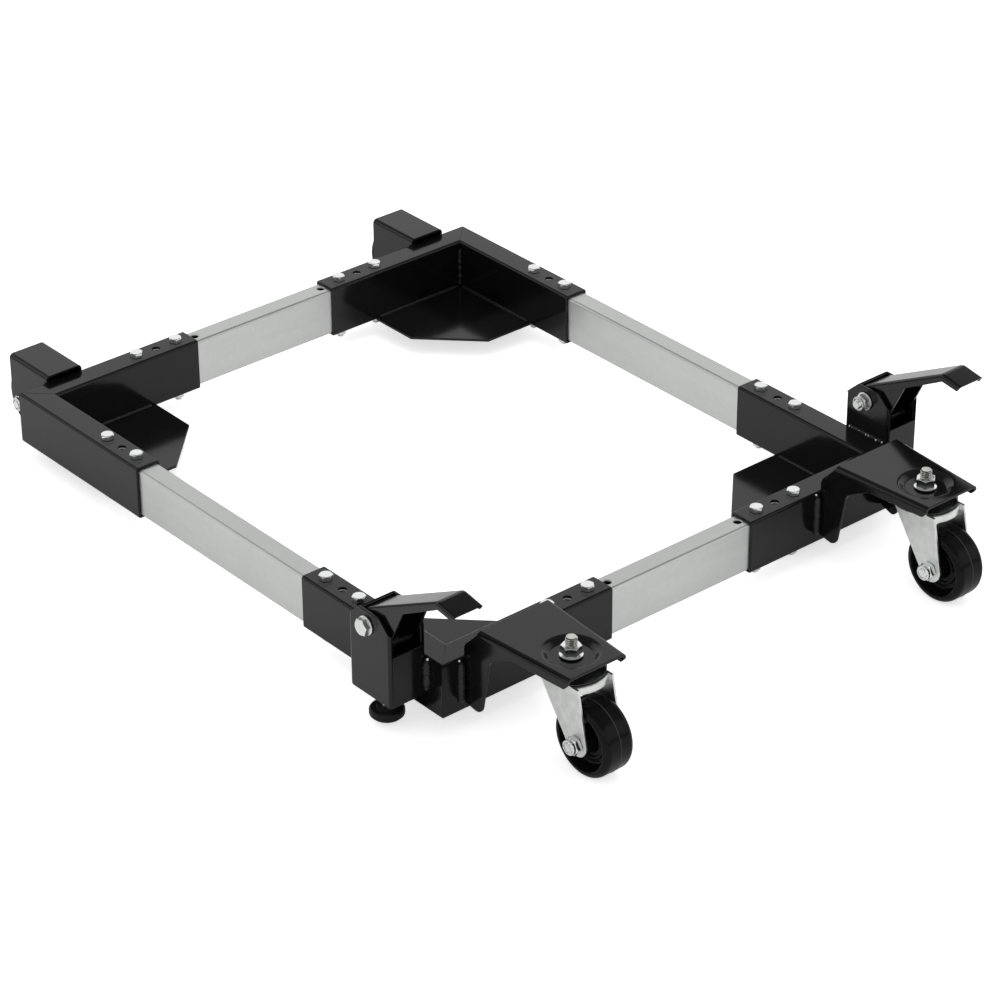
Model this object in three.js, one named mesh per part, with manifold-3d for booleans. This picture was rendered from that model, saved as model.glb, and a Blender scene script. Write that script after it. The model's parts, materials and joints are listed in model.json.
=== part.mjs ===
// Mobile machine base: a bolted frame of four welded corners and four sliding bars,
// with two swivel casters and two pedal-operated feet at the front and two fixed wheels behind.
// Millimetres, +Z up, the floor is z = 0, the front faces -Y.

import * as THREE from 'three';
import { mergeVertices } from 'three/addons/utils/BufferGeometryUtils.js';
import Module from 'manifold-3d';

const wasm = await Module();
wasm.setup();

// Frame
const frameWidth = 620;
const frameLength = 710;
const groundGap = 20;
const tubeHeight = 60;
const tubeWidth = 30;
const tubeWall = 2.5;
const tubeEdgeRadius = 3;
const armLength = 216;
const barWall = 2;
const barEdgeRadius = 3;
const holePitch = 26;
const lastHoleInset = 20;
const armHoles = 3;
const barHoles = 4;
const seatGap = 0.3;

// Shelf plates that carry the machine
const shelfReach = 125;
const shelfCut = 62.5;
const shelfThickness = 3;

// Frame bolts and lock nuts
const boltDiameter = 8;
const boltHoleDiameter = 9;
const boltHexWidth = 13;
const boltHeadHeight = 5.3;
const boltTailLength = 3;
const lockNutHeight = 8;

// Wheels
const wheelDiameter = 77;
const wheelWidth = 36;
const wheelShoulder = 5;
const rimThickness = 8;
const discThickness = 12;
const hubDiameter = 25;
const hubWidth = 39;
const sleeveDiameter = 15;
const axleClearance = 0.3;
const axleDiameter = 10;
const axleHexWidth = 17;
const axleHeadHeight = 6.4;
const axleNutHeight = 10;
const axleTail = 0.5;

// Swivel casters
const stemInset = 73.5;
const stemReach = 100;
const casterTrail = 33;
const sheetThickness = 3;
const bracketRise = 36;
const bracketWidth = 94;
const bracketNoseWidth = 73;
const bracketFoldRadius = 5;
const bracketOverhang = 36;
const plateSetback = 18;
const flangeShoulder = 14;
const flangeShoulderRadius = 10;
const legDrop = 50;
const legTipDrop = 56;
const legTipDepth = 23;
const legTipRadius = 8;
const legDepth = 34;
const archRise = 9;
const archRadius = 9;
const archReach = 62;
const noseDepth = 12;
const noseRake = 5;
const dishDiameter = 45;
const dishRimDiameter = 55;
const dishDepth = 5;
const stemDiameter = 12;
const stemHoleDiameter = 12.8;
const stemStandout = 21;
const stemNutHexWidth = 18;
const stemNutHeight = 12;
const stemNutFlangeDiameter = 23;
const stemNutFlangeHeight = 4;
const headDiameter = 67;
const headCapDiameter = 44;
const headHeight = 9.1;
const headRimHeight = 1;
const bearingDiameter = 48;
const bearingHeight = 0.4;
const rivetHeadDiameter = 22;
const rivetHeadHeight = 3.5;
const crownDiameter = 73;
const apronHeight = 8;
const forkSheet = 2.5;
const forkWidth = 45;
const forkTopBack = 24;
const forkTopFront = 34.5;
const forkEyeRadius = 13.5;

// Pedal housings
const housingWidth = 44;
const housingDepth = 62;
const housingInset = 54;
const housingDrop = 41;
const housingRise = 53;
const housingCutDepth = 16;
const housingCutDrop = 15;
const housingFoldRadius = 4;
const housingHeelRadius = 5;
const frontPanelRise = 15;
const guidePlateLift = 4;

// Pedals
const pivotShift = 3;
const pivotHeight = 38;
const pivotDiameter = 10;
const pivotHexWidth = 16;
const pivotHeadHeight = 6;
const pivotNutHeight = 9;
const pivotTail = 3;
const washerDiameter = 20;
const washerThickness = 2;
const pedalWidth = 35;
const pedalSheet = 2.5;
const pedalAngle = THREE.MathUtils.degToRad(28);
const pedalStroke = THREE.MathUtils.degToRad(48);
const pedalTopOffset = 15.5;
const pedalTail = 2.5;
const pedalLength = 120;
const pedalLipDepth = 7.8;
const pedalWebDepth = 9.4;
const pedalWebStart = 58.5;
const toeLength = 26.5;
const toeAngle = THREE.MathUtils.degToRad(-10);
const toeLipDepth = 7;
const toeRake = 3;
const camBase = 15;
const camTravel = 12;

// Feet
const padDiameter = 35;
const padHeight = 12;
const padBevel = 3;
const padGap = 7;
const footShift = 3;
const padTopDiameter = 20;
const padTopHeight = 2;
const studDiameter = 10;
const jamNutHexWidth = 17;
const jamNutHeight = 6;
const plungerWidth = 34;
const plungerDepth = 44;
const plungerPlate = 4;
const plungerSleeveDiameter = 18;
const plungerSleeveDrop = 4;
const studThreadDepth = 24;

// Fixed rear wheels
const rearWheelInset = 57;
const rearAxleReach = 44;
const rearBoxWidth = 46;
const rearBoxRise = 8;
const rearBoxLength = 67.5;
const rearBoxLip = 3.5;
const rearBoxDrop = 57;
const rearBoxFoldRadius = 5;
const rearBoxHeelRadius = 9;

// Facets
const roundSteps = 20;
const wheelSteps = 24;
const holeSteps = 8;
const filletSteps = 2;
const eyeSteps = 7;
const camSteps = 6;
const overrun = 4;

// Places that follow from the sizes above
const railTop = groundGap + tubeHeight;
const wheelRadius = wheelDiameter / 2;
const axleHeight = wheelRadius;
const overallLength = stemReach + casterTrail + frameLength + rearAxleReach + wheelDiameter;
const frontFace = stemReach + casterTrail + wheelRadius - overallLength / 2;
const rearFace = frontFace + frameLength;
const sideFace = frameWidth / 2;
const firstHoleAt = armLength - lastHoleInset - (armHoles - 1) * holePitch;
const plateTop = railTop + bracketRise;
const dishFloor = plateTop - dishDepth;
const dishUnderside = dishFloor - sheetThickness;
const headBottom = dishUnderside - seatGap - headHeight;
const crownTop = headBottom - bearingHeight - seatGap;
const pivotZ = railTop + pivotHeight;
const camRate = camTravel / pedalStroke;
const plungerTop = pivotZ - camBase - seatGap;
const housingBottom = railTop - housingDrop;
const guideTop = housingBottom + guidePlateLift + sheetThickness;
const sleeveBottom = housingBottom - plungerSleeveDrop;

// Finishes
const blackPaint = { color: 0x1d1d1f, roughness: 0.45, metalness: 0.2 };
const zincPlate = { color: 0xc8ccce, roughness: 0.3, metalness: 0.9 };
const galvanised = { color: 0xb9bdb9, roughness: 0.42, metalness: 0.7 };
const darkSteel = { color: 0x2a2b2c, roughness: 0.5, metalness: 0.6 };
const blackRubber = { color: 0x161617, roughness: 0.6, metalness: 0 };
const wheelPlastic = { color: 0x141415, roughness: 0.38, metalness: 0 };

// Solids

// One closed surface with shared vertices and its faces pointing out.
function closed(geometry) {
  const bare = geometry.clone();
  bare.deleteAttribute('normal');
  bare.deleteAttribute('uv');
  const merged = mergeVertices(bare);
  const corner = merged.attributes.position;
  const [a, b, c] = [new THREE.Vector3(), new THREE.Vector3(), new THREE.Vector3()];
  const faces = [];
  let volume = 0;
  for (let i = 0; i < merged.index.count; i += 3) {
    const [p, q, r] = [0, 1, 2].map((k) => merged.index.getX(i + k));
    if (p === q || q === r || r === p) continue;
    faces.push([p, q, r]);
    volume += a.fromBufferAttribute(corner, p).dot(
      b.fromBufferAttribute(corner, q).cross(c.fromBufferAttribute(corner, r)));
  }
  merged.setIndex((volume < 0 ? faces.map(([p, q, r]) => [p, r, q]) : faces).flat());
  return merged;
}

function toSolid(geometry) {
  const shape = closed(geometry);
  const vertProperties = new Float32Array(shape.attributes.position.array);
  const triVerts = new Uint32Array(shape.index.array);
  return new wasm.Manifold(new wasm.Mesh({ numProp: 3, vertProperties, triVerts }));
}

function toGeometry(solid) {
  const mesh = solid.getMesh();
  const geometry = new THREE.BufferGeometry();
  const corners = new Float32Array(mesh.vertProperties);
  geometry.setAttribute('position', new THREE.BufferAttribute(corners, mesh.numProp));
  geometry.setIndex(Array.from(mesh.triVerts));
  return geometry;
}

const combine = (how) => (...pieces) => {
  const solids = pieces.map(toSolid);
  return toGeometry(solids.reduce((sum, piece) => sum[how](piece)));
};
const join = combine('add');
const cut = combine('subtract');
const common = combine('intersect');
const mirrored = (geometry) => closed(geometry.clone().scale(-1, 1, 1));

// A box between two corners.
function block(low, high) {
  const [size, middle] = [high.map((v, i) => v - low[i]), high.map((v, i) => (v + low[i]) / 2)];
  return new THREE.BoxGeometry(...size).translate(...middle);
}

function rod(diameter, bottom, top, steps = roundSteps) {
  const radius = diameter / 2;
  const bar = new THREE.CylinderGeometry(radius, radius, top - bottom, steps);
  return bar.rotateX(Math.PI / 2).translate(0, 0, (top + bottom) / 2);
}

const hexRod = (width, bottom, top) => rod(width / Math.cos(Math.PI / 6), bottom, top, 6);
const alongX = (geometry) => geometry.rotateY(Math.PI / 2);

// A turned body about Z from a profile of [radius, height] points.
function turned(profile, steps = roundSteps) {
  const points = profile.map(([radius, height]) => new THREE.Vector2(radius, height));
  return new THREE.LatheGeometry(points, steps).rotateX(Math.PI / 2);
}

const insideRadius = (radius, wall) => Math.max(radius - wall, 0);
const toShape = (points) => new THREE.Shape(points.map(([a, b]) => new THREE.Vector2(a, b)));

function prismZ(points, bottom, top) {
  const solid = new THREE.ExtrudeGeometry(toShape(points), { depth: top - bottom, bevelEnabled: false });
  return solid.translate(0, 0, bottom);
}

// An outline in Y and Z, pushed along X.
function prismX(points, from, to) {
  return prismZ(points, from, to).rotateX(Math.PI / 2).rotateZ(Math.PI / 2);
}

// Replaces each corner [a, b, radius] by an arc, no larger than its sides allow.
function rounded(corners, steps = filletSteps) {
  const points = corners.map(([a, b]) => new THREE.Vector2(a, b));
  return corners.flatMap(([a, b, radius = 0], i) => {
    if (radius === 0) return [[a, b]];
    const before = points.at(i - 1).clone().sub(points[i]);
    const after = points[(i + 1) % points.length].clone().sub(points[i]);
    const room = Math.min(before.length(), after.length()) / 2;
    const half = before.angleTo(after) / 2;
    const fit = Math.min(radius, room * Math.tan(half));
    const middle = before.normalize().clone().add(after.normalize()).normalize();
    const centre = points[i].clone().addScaledVector(middle, fit / Math.sin(half));
    const start = points[i].clone().addScaledVector(before, fit / Math.tan(half)).sub(centre);
    const end = points[i].clone().addScaledVector(after, fit / Math.tan(half)).sub(centre);
    const turn = Math.atan2(start.cross(end), start.dot(end));
    return Array.from({ length: steps + 1 }, (_, k) => {
      const arm = start.clone().rotateAround(new THREE.Vector2(), (turn * k) / steps).add(centre);
      return [arm.x, arm.y];
    });
  });
}

const rectangle = (left, low, right, high, radius = 0) => rounded([
  [left, low, radius], [right, low, radius], [right, high, radius], [left, high, radius],
]);

// A skin through copies of one section: place(station) puts the section's [u, v] in space.
function loft(outline, hole, places) {
  const section = [...outline, ...hole];
  const positions = places.flatMap((place) => section.flatMap(([u, v]) => place(u, v)));
  const at = (station, i) => station * section.length + i;
  const loops = [[0, outline.length, false], [outline.length, hole.length, true]];
  const index = [];
  for (let station = 0; station + 1 < places.length; station += 1) {
    for (const [start, count, hollow] of loops) {
      for (let i = 0; i < count; i += 1) {
        const [p, q] = [start + i, start + ((i + 1) % count)];
        const quad = [at(station, p), at(station, q), at(station + 1, q), at(station + 1, p)];
        const [a, b, c, d] = hollow ? [...quad].reverse() : quad;
        index.push(a, b, c, a, c, d);
      }
    }
  }
  const flat = [outline, hole].map((loop) => loop.map(([u, v]) => new THREE.Vector2(u, v)));
  const cap = THREE.ShapeUtils.triangulateShape(flat[0], hole.length ? [flat[1]] : []);
  for (const [a, b, c] of cap) {
    index.push(at(0, a), at(0, c), at(0, b));
    index.push(at(places.length - 1, a), at(places.length - 1, b), at(places.length - 1, c));
  }
  const geometry = new THREE.BufferGeometry();
  geometry.setAttribute('position', new THREE.Float32BufferAttribute(positions, 3));
  return geometry.setIndex(index);
}

function addMesh(group, name, geometry, finish) {
  const mesh = new THREE.Mesh(closed(geometry), new THREE.MeshStandardMaterial(finish));
  mesh.name = name;
  group.add(mesh);
  return mesh;
}

// Frame

const armHoleAt = Array.from({ length: armHoles }, (_, i) => firstHoleAt + i * holePitch);
const boltedHoleAt = [armHoleAt[0], armHoleAt.at(-1)];

function boltHole(x, y) {
  const hole = rod(boltHoleDiameter, -overrun, tubeHeight + overrun, holeSteps);
  return hole.translate(x, y, 0);
}

// Two mitred tubes at a right angle with the shelf welded between them, outer corner at the
// origin, arms along +X and +Y.
function cornerFrame() {
  const bottom = tubeHeight - tubeWall;
  const outside = rectangle(0, 0, tubeWidth, tubeHeight, tubeEdgeRadius);
  const bore = rectangle(tubeWall, tubeWall, tubeWidth - tubeWall, bottom);
  const tube = loft(outside, bore, [
    (u, v) => [armLength, u, v],
    (u, v) => [u, u, v],
    (u, v) => [u, armLength, v],
  ]);
  const middle = tubeWidth / 2;
  const holes = armHoleAt.flatMap((at) => [boltHole(at, middle), boltHole(middle, at)]);
  return cut(join(tube, shelf()), ...holes);
}

function shelf() {
  const [near, far] = [tubeWidth - tubeWall / 2, tubeWidth + shelfReach];
  const cutFrom = far - shelfCut;
  const outline = [[near, near], [far, near], [far, cutFrom], [cutFrom, far], [near, far]];
  return prismZ(outline, 0, shelfThickness);
}

// A bar along X, centred, with a row of holes towards each end.
function slidingBar(length) {
  const inset = tubeWall + seatGap;
  const half = tubeWidth / 2 - inset;
  const high = tubeHeight - inset;
  const outside = rectangle(-half, inset, half, high, barEdgeRadius);
  const bore = rectangle(barWall - half, inset + barWall, half - barWall, high - barWall);
  const body = loft(outside, bore, [
    (u, v) => [-length / 2, -u, v],
    (u, v) => [length / 2, -u, v],
  ]);
  const holeAt = Array.from({ length: barHoles }, (_, i) => length / 2 - holePitch / 2 - i * holePitch);
  return cut(body, ...holeAt.flatMap((at) => [boltHole(at, 0), boltHole(-at, 0)]));
}

const m8 = {
  diameter: boltDiameter,
  hexWidth: boltHexWidth,
  headHeight: boltHeadHeight,
  nutHeight: lockNutHeight,
  tail: boltTailLength,
  washer: 0,
};

// A bolt along Z with its nut: the head seats on z = 0 and the nut on z = -grip.
function boltWithNut({ diameter, hexWidth, headHeight, nutHeight, tail, washer }, grip) {
  const headTop = seatGap + washer + headHeight;
  const nutBottom = -grip - seatGap - washer - nutHeight;
  const washers = [[seatGap, seatGap + washer], [-grip - seatGap - washer, -grip - seatGap]];
  return join(
    rod(diameter, nutBottom - tail, headTop - headHeight / 2, holeSteps),
    hexRod(hexWidth, seatGap, headTop),
    hexRod(hexWidth, nutBottom, -grip - seatGap),
    ...(washer > 0 ? washers.map(([low, high]) => rod(washerDiameter, low, high)) : []),
  );
}

const frameCorners = [
  { name: 'front_left', x: -sideFace, y: frontFace, turn: 0 },
  { name: 'front_right', x: sideFace, y: frontFace, turn: 1 },
  { name: 'rear_right', x: sideFace, y: rearFace, turn: 2 },
  { name: 'rear_left', x: -sideFace, y: rearFace, turn: 3 },
];

function addCorners(group) {
  const middle = tubeWidth / 2;
  const boltPlaces = boltedHoleAt.flatMap((at) => [[at, middle], [middle, at]]);
  for (const { name, x, y, turn } of frameCorners) {
    const corner = new THREE.Group();
    corner.position.set(x, y, groundGap);
    corner.rotation.z = turn * Math.PI / 2;
    addMesh(corner, `corner_${name}`, cornerFrame(), blackPaint);
    boltPlaces.forEach(([along, across], i) => {
      const bolt = addMesh(corner, `bolt_${name}_${i + 1}`, boltWithNut(m8, tubeHeight), zincPlate);
      bolt.position.set(along, across, tubeHeight);
    });
    group.add(corner);
  }
}

function addBars(group) {
  const crossLength = frameWidth - 2 * (firstHoleAt - holePitch / 2);
  const sideLength = frameLength - 2 * (firstHoleAt - 3 * holePitch / 2);
  const inset = tubeWidth / 2;
  const bars = [
    { name: 'bar_front', length: crossLength, x: 0, y: frontFace + inset, turn: 0 },
    { name: 'bar_rear', length: crossLength, x: 0, y: rearFace - inset, turn: 0 },
    { name: 'bar_left', length: sideLength, x: inset - sideFace, y: (frontFace + rearFace) / 2, turn: 1 },
    { name: 'bar_right', length: sideLength, x: sideFace - inset, y: (frontFace + rearFace) / 2, turn: 1 },
  ];
  for (const { name, length, x, y, turn } of bars) {
    const bar = addMesh(group, name, slidingBar(length), galvanised);
    bar.position.set(x, y, groundGap);
    bar.rotation.z = turn * Math.PI / 2;
  }
}

// Wheels and their axles, about X

// Facets lie flat on the floor, so the profile's radius is measured to the flats.
function wheel() {
  const [half, hub, disc] = [wheelWidth / 2, hubWidth / 2, discThickness / 2];
  const [rimRadius, hubRadius] = [wheelRadius - rimThickness, hubDiameter / 2];
  const bore = sleeveDiameter / 2 + axleClearance;
  const side = [
    [bore, hub], [hubRadius, hub], [hubRadius, disc], [rimRadius, disc],
    [rimRadius + rimThickness / 4, half], [wheelRadius - wheelShoulder, half],
    [wheelRadius, half - wheelShoulder],
  ];
  const profile = [...side, ...side.map(([radius, x]) => [radius, -x]).reverse(), side[0]];
  const flats = 1 / Math.cos(Math.PI / wheelSteps);
  const points = profile.map(([radius, x]) => new THREE.Vector2(radius * flats, x));
  const tyre = new THREE.LatheGeometry(points, wheelSteps, Math.PI / wheelSteps);
  return tyre.rotateZ(-Math.PI / 2);
}

function axleSleeve(length) {
  const hole = rod(axleDiameter + 2 * axleClearance, -length, length, holeSteps);
  return alongX(cut(rod(sleeveDiameter, -length / 2, length / 2), hole));
}

const axleSizes = {
  diameter: axleDiameter,
  hexWidth: axleHexWidth,
  headHeight: axleHeadHeight,
  nutHeight: axleNutHeight,
  tail: axleTail,
  washer: 0,
};

// An axle bolt centred on x = 0 with its head at +X and its nut at -X.
const axleBolt = (span) => alongX(boltWithNut(axleSizes, span).translate(0, 0, span / 2));

// Swivel casters, stem axis at the origin, rail face at y = stemReach

// Side view of the pressed bracket: leg on the rail face, arch, and nose.
function bracketSide() {
  const face = stemReach - seatGap;
  const top = plateTop + overrun;
  const nose = -bracketOverhang;
  return rounded([
    [stemReach - plateSetback, top],
    [stemReach - plateSetback, plateTop - sheetThickness],
    [face, railTop + flangeShoulder, flangeShoulderRadius],
    [face, railTop - legDrop],
    [stemReach - legTipDepth, railTop - legTipDrop, legTipRadius],
    [stemReach - legDepth, railTop + archRise, archRadius],
    [stemReach - archReach, plateTop - noseDepth, archRadius],
    [nose + noseRake, plateTop - noseDepth],
    [nose, plateTop - noseDepth / 2],
    [nose, top],
  ]);
}

// An upside-down channel that narrows towards the nose.
function bracketChannel() {
  const low = railTop - legTipDrop - overrun;
  const half = bracketWidth / 2;
  const inside = half - sheetThickness;
  const innerRadius = insideRadius(bracketFoldRadius, sheetThickness);
  const section = rounded([
    [-half, low], [-inside, low], [-inside, plateTop - sheetThickness, innerRadius],
    [inside, plateTop - sheetThickness, innerRadius], [inside, low], [half, low],
    [half, plateTop, bracketFoldRadius], [-half, plateTop, bracketFoldRadius],
  ]);
  const narrowing = (bracketWidth - bracketNoseWidth) / 2;
  const [back, front] = [stemReach, -bracketOverhang];
  return loft(section, [], [
    (u, v) => [u, back, v],
    (u, v) => [u - Math.sign(u) * narrowing, front, v],
  ]);
}

function dish() {
  const [floor, rim] = [dishDiameter / 2, dishRimDiameter / 2];
  const [lowEdge, highEdge] = [floor + sheetThickness / 2, rim + sheetThickness / 2];
  const above = plateTop + overrun;
  const well = turned([[0, dishFloor], [floor, dishFloor], [rim, plateTop], [rim, above], [0, above]]);
  const pan = turned([
    [0, dishUnderside], [lowEdge, dishUnderside], [highEdge, plateTop - sheetThickness],
    [highEdge, plateTop], [0, plateTop],
  ]);
  return { pan, well };
}

function casterBracket() {
  const { pan, well } = dish();
  const body = common(bracketChannel(), prismX(bracketSide(), -bracketWidth, bracketWidth));
  const stemHole = rod(stemHoleDiameter, dishUnderside - overrun, plateTop);
  return cut(join(body, pan), well, stemHole);
}

// Upper race with the threaded stem above it, the ball race below it and the rivet that
// holds the fork.
function swivelHead() {
  const radii = [stemDiameter, headCapDiameter, headDiameter, bearingDiameter, rivetHeadDiameter];
  const [stem, cap, rim, race, rivet] = radii.map((diameter) => diameter / 2);
  const [top, capTop] = [dishFloor + stemStandout, dishUnderside - seatGap];
  const raceBottom = headBottom - bearingHeight;
  const rivetTop = crownTop - forkSheet - seatGap;
  const chamfer = stem / 6;
  return turned([
    [0, top], [stem - chamfer, top], [stem, top - chamfer], [stem, capTop], [cap, capTop],
    [rim, headBottom + headRimHeight], [rim, headBottom], [race, headBottom], [race, raceBottom],
    [stem, raceBottom], [stem, rivetTop], [rivet, rivetTop], [rivet, rivetTop - rivetHeadHeight],
    [0, rivetTop - rivetHeadHeight],
  ]);
}

function stemNut() {
  const base = dishFloor + seatGap;
  const flange = rod(stemNutFlangeDiameter, base, base + stemNutFlangeHeight);
  const hex = hexRod(stemNutHexWidth, base, base + stemNutHeight);
  return cut(join(flange, hex), rod(stemHoleDiameter, base - overrun, base + stemNutHeight + overrun));
}

// The point where a line from outside touches a circle, on its left (+1) or right (-1) side.
function tangentPoint([a, b], [ca, cb], radius, side) {
  const away = Math.hypot(a - ca, b - cb);
  const angle = Math.atan2(b - cb, a - ca) + side * Math.acos(radius / away);
  return [ca + radius * Math.cos(angle), cb + radius * Math.sin(angle)];
}

// One fork leg seen from the side: a wide top that narrows to the eye round the axle.
function forkLeg() {
  const eye = [-casterTrail, axleHeight];
  const [front, back] = [[-forkTopFront, crownTop], [forkTopBack, crownTop]];
  const frontTouch = tangentPoint(front, eye, forkEyeRadius, 1);
  const backTouch = tangentPoint(back, eye, forkEyeRadius, -1);
  const angleOf = ([a, b]) => Math.atan2(b - eye[1], a - eye[0]);
  const from = angleOf(frontTouch);
  const sweep = (angleOf(backTouch) - from + 2 * Math.PI) % (2 * Math.PI);
  const arc = Array.from({ length: eyeSteps + 1 }, (_, i) => {
    const turn = from + (sweep * i) / eyeSteps;
    return [eye[0] + forkEyeRadius * Math.cos(turn), eye[1] + forkEyeRadius * Math.sin(turn)];
  });
  return [front, ...arc, back];
}

function forkCrown(low) {
  const half = forkWidth / 2;
  const hollow = rod(crownDiameter - 2 * forkSheet, low - overrun, crownTop - forkSheet);
  const cup = cut(rod(crownDiameter, low, crownTop), hollow);
  const between = block([-half, -crownDiameter, low - overrun], [half, crownDiameter, crownTop + overrun]);
  return common(cup, between);
}

function fork() {
  const [half, low] = [forkWidth / 2, crownTop - apronHeight];
  const legs = [-half, half - forkSheet].map((x) => prismX(forkLeg(), x, x + forkSheet));
  const axleHole = alongX(rod(axleDiameter + 2 * seatGap, -forkWidth, forkWidth, holeSteps));
  const rivetHole = rod(stemDiameter + 2 * axleClearance, low - overrun, crownTop + overrun);
  return cut(join(forkCrown(low), ...legs), axleHole.translate(0, -casterTrail, axleHeight), rivetHole);
}

function addCaster(group, side, x) {
  const caster = new THREE.Group();
  caster.position.set(x, frontFace - stemReach, 0);
  addMesh(caster, `caster_bracket_${side}`, casterBracket(), blackPaint);
  addMesh(caster, `swivel_head_${side}`, swivelHead(), darkSteel);
  addMesh(caster, `stem_nut_${side}`, stemNut(), zincPlate);
  addMesh(caster, `caster_fork_${side}`, fork(), zincPlate);
  const axle = new THREE.Group();
  axle.position.set(0, -casterTrail, axleHeight);
  addMesh(axle, `caster_wheel_${side}`, wheel(), wheelPlastic);
  addMesh(axle, `caster_sleeve_${side}`, axleSleeve(forkWidth - 2 * (forkSheet + seatGap)), zincPlate);
  addMesh(axle, `caster_axle_${side}`, axleBolt(forkWidth), zincPlate);
  caster.add(axle);
  group.add(caster);
}

// Pedal and foot, rail face at x = 0, housing towards -X, middle of the housing at y = 0

const leverX = -housingWidth / 2 - seatGap / 2;

function pivotHole() {
  const bore = alongX(rod(pivotDiameter + 2 * seatGap, -2 * housingWidth, overrun, roundSteps / 2));
  return bore.translate(0, pivotShift, pivotZ);
}

// Four folded walls, open above and below.
function housingWalls() {
  const [left, right, depth] = [-housingWidth, -seatGap, housingDepth / 2];
  const [bottom, top] = [housingBottom, railTop + housingRise];
  const inner = insideRadius(housingFoldRadius, sheetThickness);
  const outside = rectangle(left, -depth, right, depth, housingFoldRadius);
  const inside = rectangle(
    left + sheetThickness, sheetThickness - depth, right - sheetThickness, depth - sheetThickness, inner);
  return cut(prismZ(outside, bottom, top), prismZ(inside, bottom - overrun, top + overrun));
}

// The plate that closes the slanted top behind, between the sides.
function housingHood() {
  const [back, top] = [housingDepth / 2, railTop + housingRise];
  const length = Math.hypot(housingCutDepth, housingCutDrop);
  const inward = [-housingCutDrop, -housingCutDepth].map((v) => (v * sheetThickness) / length);
  const outer = [[back, top - housingCutDrop], [back - housingCutDepth, top]];
  const inner = outer.map(([y, z]) => [y + inward[0], z + inward[1]]).reverse();
  return prismX([...outer, ...inner], sheetThickness / 2 - housingWidth, -seatGap - sheetThickness / 2);
}

// The sides' outline, slanted in front and behind.
function housingSide() {
  const [front, back, top] = [-housingDepth / 2, housingDepth / 2, railTop + housingRise];
  return rounded([
    [front, housingBottom], [back, housingBottom, housingHeelRadius],
    [back, top - housingCutDrop], [back - housingCutDepth, top],
    [front + housingCutDepth, top], [front, top - housingCutDrop],
  ]);
}

// The front panel is cut down to let the pedal through.
function leverHousing() {
  const top = railTop + housingRise;
  const front = -housingDepth / 2;
  const outline = prismX(housingSide(), -housingWidth - overrun, overrun);
  const mouth = block(
    [sheetThickness - housingWidth, front - overrun, railTop + frontPanelRise],
    [-seatGap - sheetThickness, front + sheetThickness + overrun, top + overrun]);
  return cut(join(common(housingWalls(), outline), housingHood()), mouth, pivotHole());
}

function guidePlate() {
  const [left, right] = [sheetThickness + seatGap - housingWidth, -2 * seatGap - sheetThickness];
  const halfDepth = housingDepth / 2 - sheetThickness - seatGap;
  const plate = block([left, -halfDepth, guideTop - sheetThickness], [right, halfDepth, guideTop]);
  const bore = rod(plungerSleeveDiameter + 2 * seatGap, housingBottom, guideTop + overrun);
  return cut(plate, bore.translate(leverX, footShift, 0));
}

const alongPedal = (s, n) => [
  n * Math.sin(pedalAngle) - s * Math.cos(pedalAngle),
  n * Math.cos(pedalAngle) + s * Math.sin(pedalAngle),
];

// A cam edge whose lowest point sinks evenly as the pedal turns.
function camEdge() {
  return Array.from({ length: camSteps + 1 }, (_, i) => {
    const turn = (pedalStroke * i) / camSteps;
    const lift = camBase + camRate * turn;
    return [
      -lift * Math.sin(turn) - camRate * Math.cos(turn),
      -lift * Math.cos(turn) + camRate * Math.sin(turn),
    ];
  });
}

function alongToe(s, n) {
  const [y, z] = alongPedal(pedalLength, pedalTopOffset);
  return [
    y - s * Math.cos(toeAngle) - n * Math.sin(toeAngle),
    z + s * Math.sin(toeAngle) + n * Math.cos(toeAngle),
  ];
}

// Side of the pedal about its pivot: sheet top, bent toe, rolled lips, web and cam.
function pedalSide() {
  const back = Array.from({ length: camSteps + 1 }, (_, i) => (i / camSteps - 1) * Math.PI / 2)
    .map((turn) => [camBase * Math.cos(turn), camBase * Math.sin(turn)]);
  return [
    alongPedal(-pedalTail, pedalTopOffset),
    alongPedal(pedalLength, pedalTopOffset),
    alongToe(toeLength, 0),
    alongToe(toeLength - toeRake, -toeLipDepth),
    alongToe(0, -pedalLipDepth),
    alongPedal(pedalWebStart, pedalTopOffset - pedalWebDepth),
    ...camEdge().reverse(),
    ...back,
  ];
}

// The space between the lips, under the sheet.
function pedalHollow() {
  const under = pedalTopOffset - pedalSheet;
  const [deepY, deepZ] = [alongToe(toeLength + overrun, 0)[0], -2 * camBase - camTravel];
  return [
    alongPedal(-2 * pedalTail - camBase, under),
    alongPedal(pedalLength, under),
    alongToe(toeLength + overrun, -pedalSheet),
    [deepY, deepZ],
    [2 * pedalTail + camBase, deepZ],
  ];
}

function pedal() {
  const half = pedalWidth / 2;
  const body = prismX(pedalSide(), -half, half);
  const hollow = prismX(pedalHollow(), pedalSheet - half, half - pedalSheet);
  const hole = alongX(rod(pivotDiameter + 2 * axleClearance, -pedalWidth, pedalWidth, roundSteps / 2));
  return cut(body, hollow, hole).translate(leverX, pivotShift, pivotZ);
}

const m10 = {
  diameter: pivotDiameter,
  hexWidth: pivotHexWidth,
  headHeight: pivotHeadHeight,
  nutHeight: pivotNutHeight,
  tail: pivotTail,
  washer: washerThickness,
};

// Head outside the housing, nut on the side of the rail.
function pivotBolt() {
  const bolt = alongX(boltWithNut(m10, housingWidth - seatGap).rotateX(Math.PI));
  return bolt.translate(-housingWidth, pivotShift, pivotZ);
}

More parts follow.
